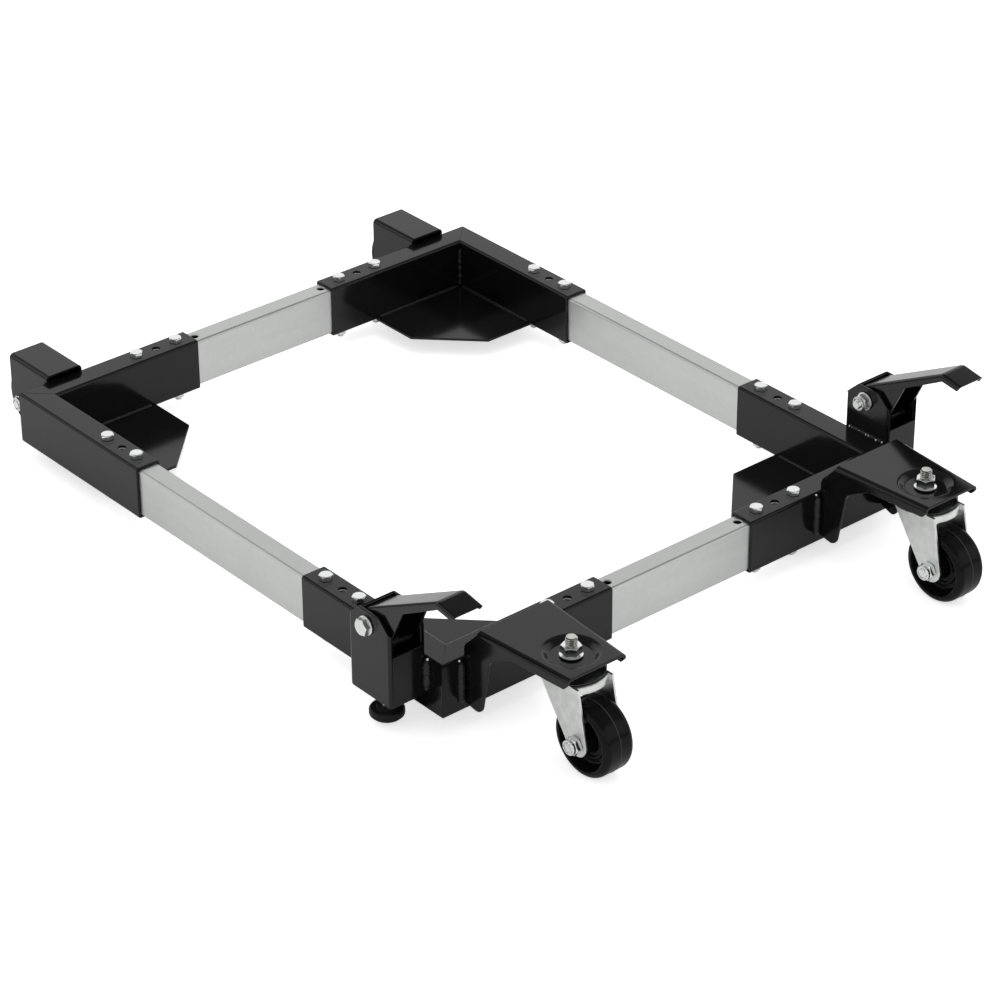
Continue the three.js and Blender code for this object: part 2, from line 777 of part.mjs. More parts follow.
// Plate that the cam presses, with the guide sleeve that carries the foot's stud.
function plunger() {
  const [halfWidth, halfDepth] = [plungerWidth / 2, plungerDepth / 2];
  const under = plungerTop - plungerPlate;
  const plate = block([-halfWidth, -halfDepth, under], [halfWidth, halfDepth, plungerTop]);
  const sleeve = rod(plungerSleeveDiameter, sleeveBottom, under + plungerPlate / 2);
  const boreTop = sleeveBottom + studThreadDepth + seatGap;
  const bore = rod(studDiameter + 2 * seatGap, sleeveBottom - overrun, boreTop, roundSteps / 2);
  return cut(join(plate, sleeve), bore).translate(leverX, footShift, 0);
}

const padTop = padGap + padHeight;

// The stud that sets the foot's height, with the jam nut that locks it under the sleeve.
function footStud() {
  const nutTop = sleeveBottom - seatGap;
  const stud = rod(studDiameter, padTop + seatGap, sleeveBottom + studThreadDepth, roundSteps / 2);
  const nut = hexRod(jamNutHexWidth, nutTop - jamNutHeight, nutTop);
  return join(stud, nut).translate(leverX, footShift, 0);
}

function footPad() {
  const [outer, neck] = [padDiameter / 2, padTopDiameter / 2];
  const [shoulder, brim] = [padTop - padTopHeight, padTop - padTopHeight / 2];
  return turned([
    [0, padGap], [outer - padBevel, padGap], [outer, padGap + padBevel], [outer, shoulder],
    [outer - padBevel / 2, brim], [neck, brim], [neck, padTop], [0, padTop],
  ]).translate(leverX, footShift, 0);
}

function addLever(group, side, x) {
  const shown = x < 0 ? closed : mirrored;
  const lever = new THREE.Group();
  lever.position.set(x, frontFace + housingInset, 0);
  addMesh(lever, `lever_housing_${side}`, shown(leverHousing()), blackPaint);
  addMesh(lever, `guide_plate_${side}`, shown(guidePlate()), blackPaint);
  addMesh(lever, `pedal_${side}`, shown(pedal()), blackPaint);
  addMesh(lever, `pivot_bolt_${side}`, shown(pivotBolt()), zincPlate);
  addMesh(lever, `plunger_${side}`, shown(plunger()), darkSteel);
  addMesh(lever, `foot_stud_${side}`, shown(footStud()), zincPlate);
  addMesh(lever, `foot_pad_${side}`, shown(footPad()), blackRubber);
  group.add(lever);
}

// Fixed rear wheels, wheel plane at x = 0, rear rail face at y = 0

// Upside-down channel, open behind, that laps over the rail and straddles the wheel.
function rearBox() {
  const [half, top] = [rearBoxWidth / 2, railTop + rearBoxRise];
  const inside = half - sheetThickness;
  const low = railTop - rearBoxDrop;
  const inner = insideRadius(rearBoxFoldRadius, sheetThickness);
  const section = rounded([
    [-half, low], [-inside, low], [-inside, top - sheetThickness, inner],
    [inside, top - sheetThickness, inner], [inside, low], [half, low],
    [half, top, rearBoxFoldRadius], [-half, top, rearBoxFoldRadius],
  ]);
  const channel = loft(section, [], [
    (u, v) => [u, rearBoxLength, v],
    (u, v) => [u, -rearBoxLip, v],
  ]);
  const side = rounded([
    [seatGap, low], [seatGap, railTop + seatGap], [-rearBoxLip, railTop + seatGap],
    [-rearBoxLip, top + overrun], [rearBoxLength, top + overrun], [rearBoxLength, low, rearBoxHeelRadius],
  ]);
  const hole = alongX(rod(axleDiameter + 2 * seatGap, -rearBoxWidth, rearBoxWidth, holeSteps));
  return cut(
    common(channel, prismX(side, -rearBoxWidth, rearBoxWidth)),
    hole.translate(0, rearAxleReach, axleHeight));
}

function addRearWheel(group, side, x) {
  const station = new THREE.Group();
  station.position.set(x, rearFace, 0);
  addMesh(station, `rear_wheel_box_${side}`, rearBox(), blackPaint);
  const axle = new THREE.Group();
  axle.position.set(0, rearAxleReach, axleHeight);
  const inside = rearBoxWidth - 2 * (sheetThickness + seatGap);
  addMesh(axle, `rear_wheel_${side}`, wheel(), wheelPlastic);
  addMesh(axle, `rear_sleeve_${side}`, axleSleeve(inside), zincPlate);
  addMesh(axle, `rear_axle_${side}`, axleBolt(rearBoxWidth), zincPlate);
  station.add(axle);
  group.add(station);
}

const machineBase = new THREE.Group();
addCorners(machineBase);
addBars(machineBase);
for (const [side, way] of [['left', -1], ['right', 1]]) {
  addCaster(machineBase, side, way * (sideFace - stemInset));
  addLever(machineBase, side, way * sideFace);
  addRearWheel(machineBase, side, way * (sideFace - rearWheelInset));
}

export default machineBase;
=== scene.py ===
import json
import random
from math import acos, atan2, copysign, cos, dist, hypot, pi, radians, sin, sqrt, tan

import bmesh
import bpy
from mathutils import Matrix, Vector, noise


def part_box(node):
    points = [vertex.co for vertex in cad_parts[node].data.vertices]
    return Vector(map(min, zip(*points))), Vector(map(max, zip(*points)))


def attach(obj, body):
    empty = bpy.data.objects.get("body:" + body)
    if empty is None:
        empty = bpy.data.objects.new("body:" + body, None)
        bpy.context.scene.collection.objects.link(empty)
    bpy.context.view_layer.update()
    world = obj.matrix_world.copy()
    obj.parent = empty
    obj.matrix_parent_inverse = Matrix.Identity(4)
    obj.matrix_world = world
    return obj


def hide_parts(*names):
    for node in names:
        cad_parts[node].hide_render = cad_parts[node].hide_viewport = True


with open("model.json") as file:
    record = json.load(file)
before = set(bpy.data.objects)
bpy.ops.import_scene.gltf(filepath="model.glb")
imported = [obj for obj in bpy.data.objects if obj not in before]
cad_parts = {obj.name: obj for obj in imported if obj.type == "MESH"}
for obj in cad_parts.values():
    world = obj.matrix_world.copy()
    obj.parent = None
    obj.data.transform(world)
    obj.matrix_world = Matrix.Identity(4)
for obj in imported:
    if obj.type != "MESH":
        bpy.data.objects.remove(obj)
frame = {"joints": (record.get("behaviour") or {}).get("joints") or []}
scene = bpy.context.scene
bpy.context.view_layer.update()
jointAt = {joint["name"]: Vector(joint["pos_m"]) for joint in frame["joints"] if "pos_m" in joint}
sides = {"left": -1, "right": 1}
random.seed(11)

frameLow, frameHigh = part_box("corner_front_left")
railTop, railBottom = frameHigh.z, frameLow.z
frontFace, leftFace = frameLow.y, frameLow.x
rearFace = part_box("corner_rear_left")[1].y
print("frame loaded")


# Shader graph

mixInput = dict(mask=0, low=6, high=7, result=2)  # the colour sockets of a Mix node


class Wire:  # one output socket that takes arithmetic
    def __init__(self, graph, socket):
        self.graph = graph
        self.socket = socket

    def maths(self, operation, first, second):
        return self.graph.add("Math", dict(operation=operation), {0: first, 1: second})

    def __add__(self, other):
        return self.maths("ADD", self, other)

    def __radd__(self, other):
        return self.maths("ADD", other, self)

    def __sub__(self, other):
        return self.maths("SUBTRACT", self, other)

    def __rsub__(self, other):
        return self.maths("SUBTRACT", other, self)

    def __mul__(self, other):
        return self.maths("MULTIPLY", self, other)

    def __rmul__(self, other):
        return self.maths("MULTIPLY", other, self)


class Graph:  # the nodes of one material or world
    def __init__(self, tree):
        self.tree = tree
        tree.nodes.clear()

    def plug(self, socket, value):
        if isinstance(value, Wire):
            self.tree.links.new(value.socket, socket)
        else:
            socket.default_value = value

    def add(self, kind, settings=None, inputs=None, output=0):
        node = self.tree.nodes.new("ShaderNode" + kind)
        for key, value in (settings or {}).items():
            if key == "stops":
                ramp = node.color_ramp.elements
                for stop, (place, shade) in enumerate(value):
                    element = ramp[stop] if stop < 2 else ramp.new(place)
                    element.position = place
                    element.color = (shade, shade, shade, 1)
            else:
                setattr(node, key, value)
        for key, value in (inputs or {}).items():
            self.plug(node.inputs[key], value)
        return Wire(self, node.outputs[output]) if len(node.outputs) else node

    def places(self, scale):  # object coordinates stretched by scale
        where = self.add("TexCoord", output="Object")
        return self.add("Mapping", None, {"Vector": where, "Scale": scale})

    def clouds(self, scale, detail=3.0, stretch=(1, 1, 1)):
        inputs = {"Vector": self.places(stretch), "Scale": scale, "Detail": detail}
        return self.add("TexNoise", None, inputs)

    def tint(self, mask, low, high):  # a colour between low and high
        inputs = {mixInput["mask"]: mask, mixInput["low"]: (*low, 1), mixInput["high"]: (*high, 1)}
        return self.add("Mix", dict(data_type="RGBA"), inputs, mixInput["result"])

    def bump(self, height, strength, distance):
        inputs = {"Height": height, "Strength": strength, "Distance": distance}
        return self.add("Bump", None, inputs, "Normal")


def newMaterial(name):
    material = bpy.data.materials.new(name)
    material.use_nodes = True
    return material, Graph(material.node_tree)


def newFinish(name, look, sockets):
    material, graph = newMaterial(name)

    def finish(mask, rough, height, strength=look["bump"]):
        inputs = {"Base Color": graph.tint(mask, look["dark"], look["light"]), "Roughness": rough,
                  "Normal": graph.bump(height, strength, look["depth"]), **sockets}
        shader = graph.add("BsdfPrincipled", None, inputs)
        graph.add("OutputMaterial", None, {"Surface": shader})
        return material
    return graph, finish


blackPaint = dict(dark=(0.0022, 0.0022, 0.0023), light=(0.0052, 0.0052, 0.0054), index=1.45, gloss=0.39,
                  rough=0.13, roughSpread=0.07, peelScale=900, bump=0.12, depth=0.00004, cloudScale=38)
dust = dict(scale=9, low=0.60, high=0.78, rough=0.05)


def makeBlackPaint(name, look, lumps=0.0):
    graph, finish = newFinish(name, look, {"IOR": look["index"], "Specular IOR Level": look["gloss"]})
    spread = look["roughSpread"]
    patches = graph.clouds(look["cloudScale"], 4.0)
    peel = graph.clouds(look["peelScale"], 2.0)
    specks = graph.add("ValToRGB", dict(stops=[(dust["low"], 0.0), (dust["high"], 1.0)]),
                       {"Fac": graph.clouds(look["cloudScale"] * dust["scale"], 6.0)})
    height = peel + lumps * graph.clouds(look["peelScale"] / 3, 5.0) if lumps else peel
    rough = patches * spread + (look["rough"] - spread / 2) + specks * dust["rough"]
    return finish(patches, rough, height, look["bump"] + lumps)


galvanised = dict(dark=(0.53, 0.545, 0.535), light=(0.71, 0.72, 0.705), rough=0.36, spread=0.12,
                  spangle=210, streak=(60, 4, 60), grain=1400, clouds=16,
                  flakeShare=0.16, streakShare=0.44, cloudShare=0.40, flakeHeight=0.6, bump=0.10,
                  depth=0.00005)


def makeGalvanised(name, look, along):
    graph, finish = newFinish(name, look, {"Metallic": 1.0})
    spangle = graph.add("TexVoronoi", None,
                        {"Vector": graph.places((1, 1, 1)), "Scale": look["spangle"]}, "Color")
    flakes = graph.add("RGBToBW", None, {0: spangle})
    across, lengthwise, upwards = look["streak"]
    stretch = (lengthwise, across, upwards) if along == "x" else look["streak"]
    streaks = graph.clouds(1.0, 5.0, stretch)
    clouds = graph.clouds(look["clouds"], 3.0)
    mask = flakes * look["flakeShare"] + streaks * look["streakShare"] + clouds * look["cloudShare"]
    fine = graph.clouds(look["grain"], 2.0, (1, 1, 1))
    rough = mask * look["spread"] + (look["rough"] - look["spread"] / 2)
    return finish(mask, rough, fine + flakes * look["flakeHeight"])


brightZinc = dict(dark=(0.74, 0.765, 0.755), light=(0.93, 0.94, 0.93), rough=0.15, spread=0.14,
                  scale=170, grain=1800, bump=0.16, depth=0.00004)


def makeZinc(name, look):
    graph, finish = newFinish(name, look, {"Metallic": 1.0})
    clouds = graph.clouds(look["scale"], 4.0)
    pits = graph.clouds(look["grain"], 3.0)
    return finish(clouds, clouds * look["spread"] + (look["rough"] - look["spread"] / 3), pits)


forkZinc = dict(brightZinc, dark=(0.58, 0.61, 0.59), light=(0.99, 1.0, 0.98), rough=0.30,
                spread=0.26, scale=120, grain=900)
yellowZinc = dict(brightZinc, dark=(0.50, 0.50, 0.46), light=(0.80, 0.79, 0.74), rough=0.20,
                  spread=0.18, scale=220, grain=1500)
darkPlate = dict(blackPaint, dark=(0.006, 0.006, 0.006), light=(0.016, 0.017, 0.017), index=1.5,
                 gloss=0.60, rough=0.11, roughSpread=0.06, peelScale=500, depth=0.00004, cloudScale=60)
wheelBlack = dict(blackPaint, dark=(0.0030, 0.0030, 0.0032), light=(0.0060, 0.0060, 0.0063),
                  index=1.47, gloss=0.13, rough=0.19, roughSpread=0.08, peelScale=700,
                  depth=0.00005, cloudScale=45)
padBlack = dict(blackPaint, dark=(0.0035, 0.0035, 0.0035), light=(0.0075, 0.0075, 0.0075),
                gloss=0.25, rough=0.42, roughSpread=0.12, peelScale=1500, depth=0.00008, cloudScale=80)
weldBlack = dict(blackPaint, dark=(0.006, 0.006, 0.0062), light=(0.014, 0.014, 0.0143), gloss=0.42,
                 rough=0.34)
# A lighter black for the faces on the wheel's seam ridge: a painted highlight along the parting line
seamHighlightBlack = dict(wheelBlack, dark=(0.020, 0.020, 0.020), light=(0.045, 0.045, 0.045))
cutEdge = dict(dark=(0.52, 0.53, 0.52), light=(0.86, 0.87, 0.85), metal=0.25, rough=0.45,
               spread=0.2, scale=420, bump=0.35, depth=0.0001)


def makeCutEdge(name, look):  # bare sawn or drilled steel
    graph, finish = newFinish(name, look, {"Metallic": look["metal"]})
    clouds = graph.clouds(look["scale"], 4.0)
    return finish(clouds, clouds * look["spread"] + look["rough"], clouds)


weldLumps = 0.5
# Bare cut steel for the bars' drilled walls and sawn ends, also the painted glints on the weld drops
bareEdgeAndGlint = makeCutEdge("bareCutEdgeAndGlint", cutEdge)
# Dark plated steel for the swivel head and plunger, also used as painted shade in the stem's thread grooves
darkSteelAndGrooveShade = makeBlackPaint("darkPlatedSteelAndGrooveShade", darkPlate)


# A look is one finish or several, with a slot name that is not used

painted = (makeBlackPaint("blackPowderCoat", blackPaint), "black_powder_coat")
welded = (makeBlackPaint("weldUnderPaint", weldBlack, weldLumps), "black_powder_coat")
# Bright bare steel on the weld drops stands in for glints: painted highlights
paintedGlint = (bareEdgeAndGlint, "bright_zinc")
galvanisedBar = {axis: ((makeGalvanised(f"galvanisedAlong{axis.upper()}", galvanised, axis), bareEdgeAndGlint),
                        "galvanised_steel") for axis in "xy"}
zincPlated = (makeZinc("brightZinc", brightZinc), "bright_zinc")
forkPlated = (makeZinc("forkZinc", forkZinc), "bright_zinc")
# The stem's second finish paints shade into the thread grooves
stemPlatedWithGrooveShade = ((makeZinc("stemZinc", yellowZinc), darkSteelAndGrooveShade), "bright_zinc")
darkPlated = (darkSteelAndGrooveShade, "dark_steel")
moulded = ((makeBlackPaint("wheelBlack", wheelBlack), makeBlackPaint("wheelSeamPaintedHighlight", seamHighlightBlack)), "black_wheel")
rubber = (makeBlackPaint("padRubber", padBlack), "black_rubber")
print("materials ready")


# Mesh tools

def addObject(name, data):
    thing = bpy.data.objects.new(name, data)
    scene.collection.objects.link(thing)
    return thing


def newPiece(mesh):
    mesh.normal_update()
    bmesh.ops.recalc_face_normals(mesh, faces=mesh.faces)
    data = bpy.data.meshes.new("shape")
    mesh.to_mesh(data)
    mesh.free()
    return addObject("shape", data)


def skin(rings, loop=False):  # a closed surface through rings of points
    mesh = bmesh.new()
    rows = [[mesh.verts.new(point) for point in ring] for ring in rings]
    pairs = list(zip(rows, rows[1:]))
    if loop:
        pairs.append((rows[-1], rows[0]))
    for near, far in pairs:
        for i in range(len(near)):
            j = (i + 1) % len(near)
            mesh.faces.new((near[i], near[j], far[j], far[i]))
    if not loop:
        mesh.faces.new(rows[0])
        mesh.faces.new(rows[-1])
    return newPiece(mesh)


def hollow(outside, inside, near, far):  # a tube between the places near and far
    faces = ((near, outside), (far, outside), (far, inside), (near, inside))
    return skin([[place(u, v) for u, v in outline] for place, outline in faces], loop=True)


def evenly(reach, count, start=0):  # evenly spaced values, both ends included
    return [start + reach * k / count for k in range(count + 1)]


def alongAxis(axis, u, v, w):
    return {"X": (w, u, v), "Y": (u, w, v), "Z": (u, v, w)}[axis]


def prism(outline, axis, low, high):  # an outline pushed along an axis
    return skin([[alongAxis(axis, u, v, w) for u, v in outline] for w in (low, high)])


onAxisRadius = 1e-7


def lathe(profile, steps=64, axis="Z"):  # [radius, height] points round an axis
    mesh = bmesh.new()
    rows = []
    for radius, height in profile:
        turns = [2 * pi * k / steps for k in range(steps)] if radius > onAxisRadius else [0]
        radius = radius if radius > onAxisRadius else 0
        rows.append([mesh.verts.new(alongAxis(axis, radius * cos(t), radius * sin(t), height))
                     for t in turns])
    onAxis = len(rows[0]) == 1 and len(rows[-1]) == 1
    for near, far in list(zip(rows, rows[1:])) + ([] if onAxis else [(rows[-1], rows[0])]):
        for i in range(steps):
            j = (i + 1) % steps
            corners = [near[i % len(near)], near[j % len(near)], far[j % len(far)], far[i % len(far)]]
            mesh.faces.new(list(dict.fromkeys(corners)))
    return newPiece(mesh)


def solidRod(radius, low, high, steps, axis="Z"):
    return lathe([(0, low), (radius, low), (radius, high), (0, high)], steps, axis)


def roundOff(corners, steps=6):  # each (a, b, radius) corner becomes an arc
    points = [Vector(corner[:2]) for corner in corners]
    outline = []
    for i, corner in enumerate(corners):
        radius = corner[2] if len(corner) > 2 else 0
        here = points[i]
        if radius == 0:
            outline.append(tuple(here))
            continue
        before = points[i - 1] - here
        after = points[(i + 1) % len(points)] - here
        half = before.angle(after) / 2
        fit = min(radius, min(before.length, after.length) / 2 * tan(half))
        before.normalize()
        after.normalize()
        centre = here + (before + after).normalized() * (fit / sin(half))
        start = here + before * (fit / tan(half)) - centre
        end = here + after * (fit / tan(half)) - centre
        turn = atan2(start.x * end.y - start.y * end.x, start.dot(end))
        for k in range(steps + 1):
            part = turn * k / steps
            outline.append((centre.x + start.x * cos(part) - start.y * sin(part),
                            centre.y + start.x * sin(part) + start.y * cos(part)))
    return outline


def rectangle(left, low, right, high, radius=0, steps=6):
    return roundOff([(left, low, radius), (right, low, radius),
                     (right, high, radius), (left, high, radius)], steps)


sliver = 0.00001


def mend(data):  # joins doubled points and drops slivers
    mesh = bmesh.new()
    mesh.from_mesh(data)
    bmesh.ops.remove_doubles(mesh, verts=mesh.verts, dist=sliver)
    bmesh.ops.dissolve_degenerate(mesh, edges=mesh.edges, dist=sliver)
    mesh.to_mesh(data)
    mesh.free()


def settle(piece):  # turns the modifiers into plain mesh
    bpy.context.view_layer.update()
    depth = bpy.context.evaluated_depsgraph_get()
    data = bpy.data.meshes.new_from_object(piece.evaluated_get(depth))
    mend(data)
    piece.modifiers.clear()
    piece.data = data
    return piece


def soften(piece, width, degrees=32):
    change = piece.modifiers.new("edges", "BEVEL")
    change.width = width
    change.segments = 2
    change.limit_method = "ANGLE"
    change.angle_limit = radians(degrees)
    change.use_clamp_overlap = False
    return settle(piece)


def gather(first, *others):  # several shapes as one mesh
    mesh = bmesh.new()
    for piece in (first, *others):
        mesh.from_mesh(piece.data)
    bmesh.ops.recalc_face_normals(mesh, faces=mesh.faces)
    mesh.to_mesh(first.data)
    mesh.free()
    for piece in others:
        bpy.data.objects.remove(piece)
    return first


def carve(piece, *tools, how="DIFFERENCE"):  # the tools lie apart, and one step takes them all
    tool = gather(*tools)
    change = piece.modifiers.new("carve", "BOOLEAN")
    change.operation = how
    change.solver = "EXACT"
    change.object = tool
    settle(piece)
    bpy.data.objects.remove(tool)
    return piece


def move(piece, matrix):
    piece.data.transform(matrix)
    if matrix.determinant() < 0:
        piece.data.flip_normals()
    piece.data.update()
    return piece


def shift(piece, x=0, y=0, z=0):
    return move(piece, Matrix.Translation((x, y, z)))


def twin(piece):
    return addObject("shape", piece.data.copy())


def dress(piece, name, look, body="frame", *replaced, degrees=50, flat=True):
    finishes, slot = look
    piece.name = name
    piece.data.name = name
    chosen = [polygon.material_index for polygon in piece.data.polygons]
    piece.data.materials.clear()
    for material in finishes if isinstance(finishes, tuple) else (finishes,):
        piece.data.materials.append(material)
    piece.data.polygons.foreach_set("material_index", chosen)
    piece.data.polygons.foreach_set("use_smooth", [True] * len(piece.data.polygons))
    piece.data.set_sharp_from_angle(angle=radians(degrees))
    if flat:  # flat faces stay flat beside soft edges
        piece.modifiers.new("faces", "WEIGHTED_NORMAL").keep_sharp = True
    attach(piece, body)
    if replaced:
        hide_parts(*replaced)
    return piece


def stand(piece, node, kind, look, body="frame"):
    return dress(piece, f"{node}_{kind}", look, body, node)


def mark(piece, second):  # faces that pass the test take the second finish
    for polygon in piece.data.polygons:
        polygon.material_index = int(second(polygon.center, polygon.normal))
    return piece


def turnZ(degrees, x=0, y=0, z=0):
    return Matrix.Translation((x, y, z)) @ Matrix.Rotation(radians(degrees), 4, "Z")


mirrorX = Matrix.Scale(-1, 4, (1, 0, 0))
flipXY = Matrix(((0, 1, 0, 0), (1, 0, 0, 0), (0, 0, 1, 0), (0, 0, 0, 1)))


# Weld beads

bead = dict(step=0.0007, pitch=0.0036, sides=14, ripple=0.14, wobble=0.30, wobbleScale=210,
            grit=0.16, gritScale=500, tip=0.12, taper=1.6, sharp=70,
            lean=Vector((0.31, 0.43, 0.85)))


def grain(*place):  # smooth noise between -1 and 1
    return noise.noise(Vector(place))


def weldBead(path, width, seed, lumps=1.0):  # a lumpy rope that lies along a path
    points = [Vector(point) for point in path]
    centres = []
    for start, end in zip(points, points[1:]):
        count = max(2, round((end - start).length / bead["step"]))
        centres += [start.lerp(end, k / count) for k in range(count)]
    centres.append(points[-1])
    rings = []
    for k, centre in enumerate(centres):
        ahead = centres[min(k + 1, len(centres) - 1)] - centres[max(k - 1, 0)]
        across = ahead.cross(bead["lean"]).normalized()
        upwards = across.cross(ahead).normalized()
        run = k * bead["step"]
        end = min(run, (len(centres) - 1 - k) * bead["step"]) / width
        wave = 1 + bead["ripple"] * lumps * abs(sin(pi * run / bead["pitch"]))
        swell = 1 + bead["wobble"] * lumps * grain(seed, run * bead["wobbleScale"], 0)
        radius = width / 2 * wave * swell * sqrt(min(1, bead["tip"] + end * bead["taper"]))
        ring = []
        for side in range(bead["sides"]):
            turn = 2 * pi * side / bead["sides"]
            grit = grain(cos(turn) * 2, sin(turn) * 2 + seed, run * bead["gritScale"])
            arm = across * cos(turn) + upwards * sin(turn)
            ring.append(centre + arm * radius * (1 + bead["grit"] * lumps * grit))
        rings.append(ring)
    return skin(rings)


def dressWelds(name, *lines):
    return dress(gather(*lines), name, welded, degrees=bead["sharp"])


droplet = dict(spread=0.3, jump=3.7, rows=8, steps=14)


def spatter(places, size, seed):  # small drops beside a weld
    drops = []
    for number, place in enumerate(places):
        radius = size * (1 + droplet["spread"] * grain(seed, number * droplet["jump"], 0))
        turns = evenly(pi, droplet["rows"])
        arc = [(radius * sin(turn), -radius * cos(turn)) for turn in turns]
        arc[0], arc[-1] = (0, -radius), (0, radius)
        drops.append(shift(lathe(arc, droplet["steps"]), *place))
    return gather(*drops)


# Corners of the frame

tube = dict(width=0.030, wall=0.0025, edge=0.0030, innerEdge=0.0006, soft=0.00045)
tube["height"] = railTop - railBottom
tube["arm"] = frameHigh.x - frameLow.x
holes = dict(first=0.144, pitch=0.026, count=3, radius=0.0045, steps=28)
shelf = dict(reach=0.125, cut=0.0625, thick=0.003, soft=0.0005)
shelfBead = dict(width=0.0042, start=0.034, end=0.150, top=0.050)
cornerTurns = dict(front_left=0, front_right=90, rear_right=180, rear_left=270)


def boltHole(x, y, low, high):
    return shift(solidRod(holes["radius"], low, high, holes["steps"]), x, y)


def makeArm():  # one mitred tube along +X
    wall, width, height, arm = (tube[key] for key in ("wall", "width", "height", "arm"))
    outside = rectangle(0, 0, width, height, tube["edge"])
    inside = rectangle(wall, wall, width - wall, height - wall, tube["innerEdge"])
    piece = hollow(outside, inside, lambda u, v: (arm, u, v), lambda u, v: (u, u, v))
    along = [holes["first"] + holes["pitch"] * k for k in range(holes["count"])]
    carve(piece, *[boltHole(x, width / 2, -wall, height + wall) for x in along])
    return soften(piece, tube["soft"])


def makeShelf():
    near = tube["width"]
    far = near + shelf["reach"]
    cutFrom = far - shelf["cut"]
    outline = [(near, near), (far, near), (far, cutFrom), (cutFrom, far), (near, far)]
    plate = prism(outline, "Z", 0, shelf["thick"])
    return soften(plate, shelf["soft"])


def makeShelfWelds(seed):
    near, low = tube["width"], shelf["thick"]
    size, start, end, top = shelfBead.values()
    return gather(weldBead([(start, near, low), (end, near, low)], size, seed),
                  weldBead([(near, start, low), (near, end, low)], size, seed + 3),
                  weldBead([(near, near, low), (near, near, top)], size, seed + 5))


def makeCorners():
    arm = makeArm()
    corner = gather(arm, move(twin(arm), flipXY), makeShelf())
    for name, degrees in cornerTurns.items():
        low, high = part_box(f"corner_{name}")
        atX, atY = high.x if "right" in name else low.x, high.y if "rear" in name else low.y
        place = turnZ(degrees, atX, atY, railBottom)
        stand(move(twin(corner), place), f"corner_{name}", "tube", painted)
        dressWelds(f"shelf_welds_{name}", move(makeShelfWelds(degrees), place))
    bpy.data.objects.remove(corner)


# Sliding bars

bar = dict(wall=0.002, edge=0.0030, innerEdge=0.0012, holeCount=4, soft=0.0004, drilled=0.8, sawn=0.9)


def makeBar(node, axis):
    low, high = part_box(node)
    size, middle = high - low, (high + low) / 2
    along, across = (size.x, size.y) if axis == "x" else (size.y, size.x)
    half, wall = across / 2, bar["wall"]
    outside = rectangle(-half, low.z, half, high.z, bar["edge"])
    inside = rectangle(wall - half, low.z + wall, half - wall, high.z - wall, bar["innerEdge"])
    piece = hollow(outside, inside, lambda u, v: (-along / 2, u, v), lambda u, v: (along / 2, u, v))
    places = [along / 2 - holes["pitch"] * (k + 0.5) for k in range(bar["holeCount"])]
    carve(piece, *[boltHole(way * x, 0, low.z - wall, high.z + wall) for x in places for way in (-1, 1)])
    soften(piece, bar["soft"])

    def bareSteel(centre, normal):  # drilled walls and sawn ends
        nearest = min(hypot(abs(centre.x) - x, centre.y) for x in places)
        drilled = nearest < holes["radius"] + bar["soft"] and abs(normal.z) < bar["drilled"]
        return drilled or abs(normal.x) > bar["sawn"]
    return move(mark(piece, bareSteel), turnZ(0 if axis == "x" else 90, middle.x, middle.y))


def makeBars():
    for name, axis in dict(front="x", rear="x", left="y", right="y").items():
        stand(makeBar(f"bar_{name}", axis), f"bar_{name}", "tube", galvanisedBar[axis])


# Bolts and nuts

frameBolt = dict(radius=0.004, hex=0.013, head=0.0053, nut=0.0052, collar=0.0028, tail=0.003,
                 pitch=0.00125, washer=0)
pivotBolt = dict(radius=0.005, hex=0.016, head=0.006, nut=0.0065, collar=0.0025, tail=0.003,
                 pitch=0.0015, washer=0.002, washerRadius=0.010, turn=42)
axleBolt = dict(radius=0.005, hex=0.017, head=0.0064, nut=0.0068, collar=0.0032, tail=0.0005,
                pitch=0.0015, washer=0)
seat = 0.0003
shankShare, nutTurn = 0.97, 1.7
thread = dict(depth=0.55, rows=6, steps=36, runout=0.4)
hexEdge = dict(faceShare=0.47, cornerShare=0.60, soft=0.00022, slope=30)
liner = dict(width=0.0014, depth=0.0015)


def hexagon(width):
    radius = width / sqrt(3)
    return [(radius * cos(pi * k / 3), radius * sin(pi * k / 3)) for k in range(6)]


def hexBlock(width, low, high, both=False):  # a hexagon with its corners turned off
    face, corner = width * hexEdge["faceShare"], width * hexEdge["cornerShare"]
    drop = (corner - face) * tan(radians(hexEdge["slope"]))
    bottom = [(0, low), (face, low), (corner, low + drop)] if both else [(0, low), (corner, low)]
    turned = lathe(bottom + [(corner, high - drop), (face, high), (0, high)], 48)
    block = carve(prism(hexagon(width), "Z", low, high), turned, how="INTERSECT")
    return soften(block, hexEdge["soft"], 24)


def threadedRod(radius, low, high, pitch):  # a helical thread on a regular grid
    rise = pitch / thread["rows"]
    count = max(3, round((high - low) / rise))
    depth = thread["depth"] * pitch
    rings = []
    for row in range(count + 1):
        z = low + (high - low) * row / count
        edge = min(z - low, high - z) / pitch
        ring = []
        for k in range(thread["steps"]):
            phase = (z / pitch - k / thread["steps"]) % 1
            groove = depth * abs(2 * phase - 1) if edge > thread["runout"] else depth
            turn = 2 * pi * k / thread["steps"]
            reach = radius - groove
            ring.append((reach * cos(turn), reach * sin(turn), z))
        rings.append(ring)
    return skin(rings)


def lockNut(size, low, high):  # a hexagon with a round collar away from its seat
    middle = high - size["nut"]
    collar = size["hex"] * hexEdge["faceShare"]
    lip, recess = size["collar"] / 4, low + liner["depth"]
    inside = min(size["radius"] + liner["width"], collar - lip)
    ring = lathe(roundOff([
        (size["radius"], recess), (inside, recess), (inside, low, lip / 5), (collar, low, lip),
        (collar, middle + lip), (size["radius"], middle + lip)], 4), 48)
    return gather(hexBlock(size["hex"], middle, high, True), ring)


def discRing(inner, outer, low, high):
    lip = (high - low) / 5
    return lathe([(inner, low), (outer - lip, low), (outer, low + lip), (outer, high - lip),
                  (outer - lip, high), (inner, high)], 56)


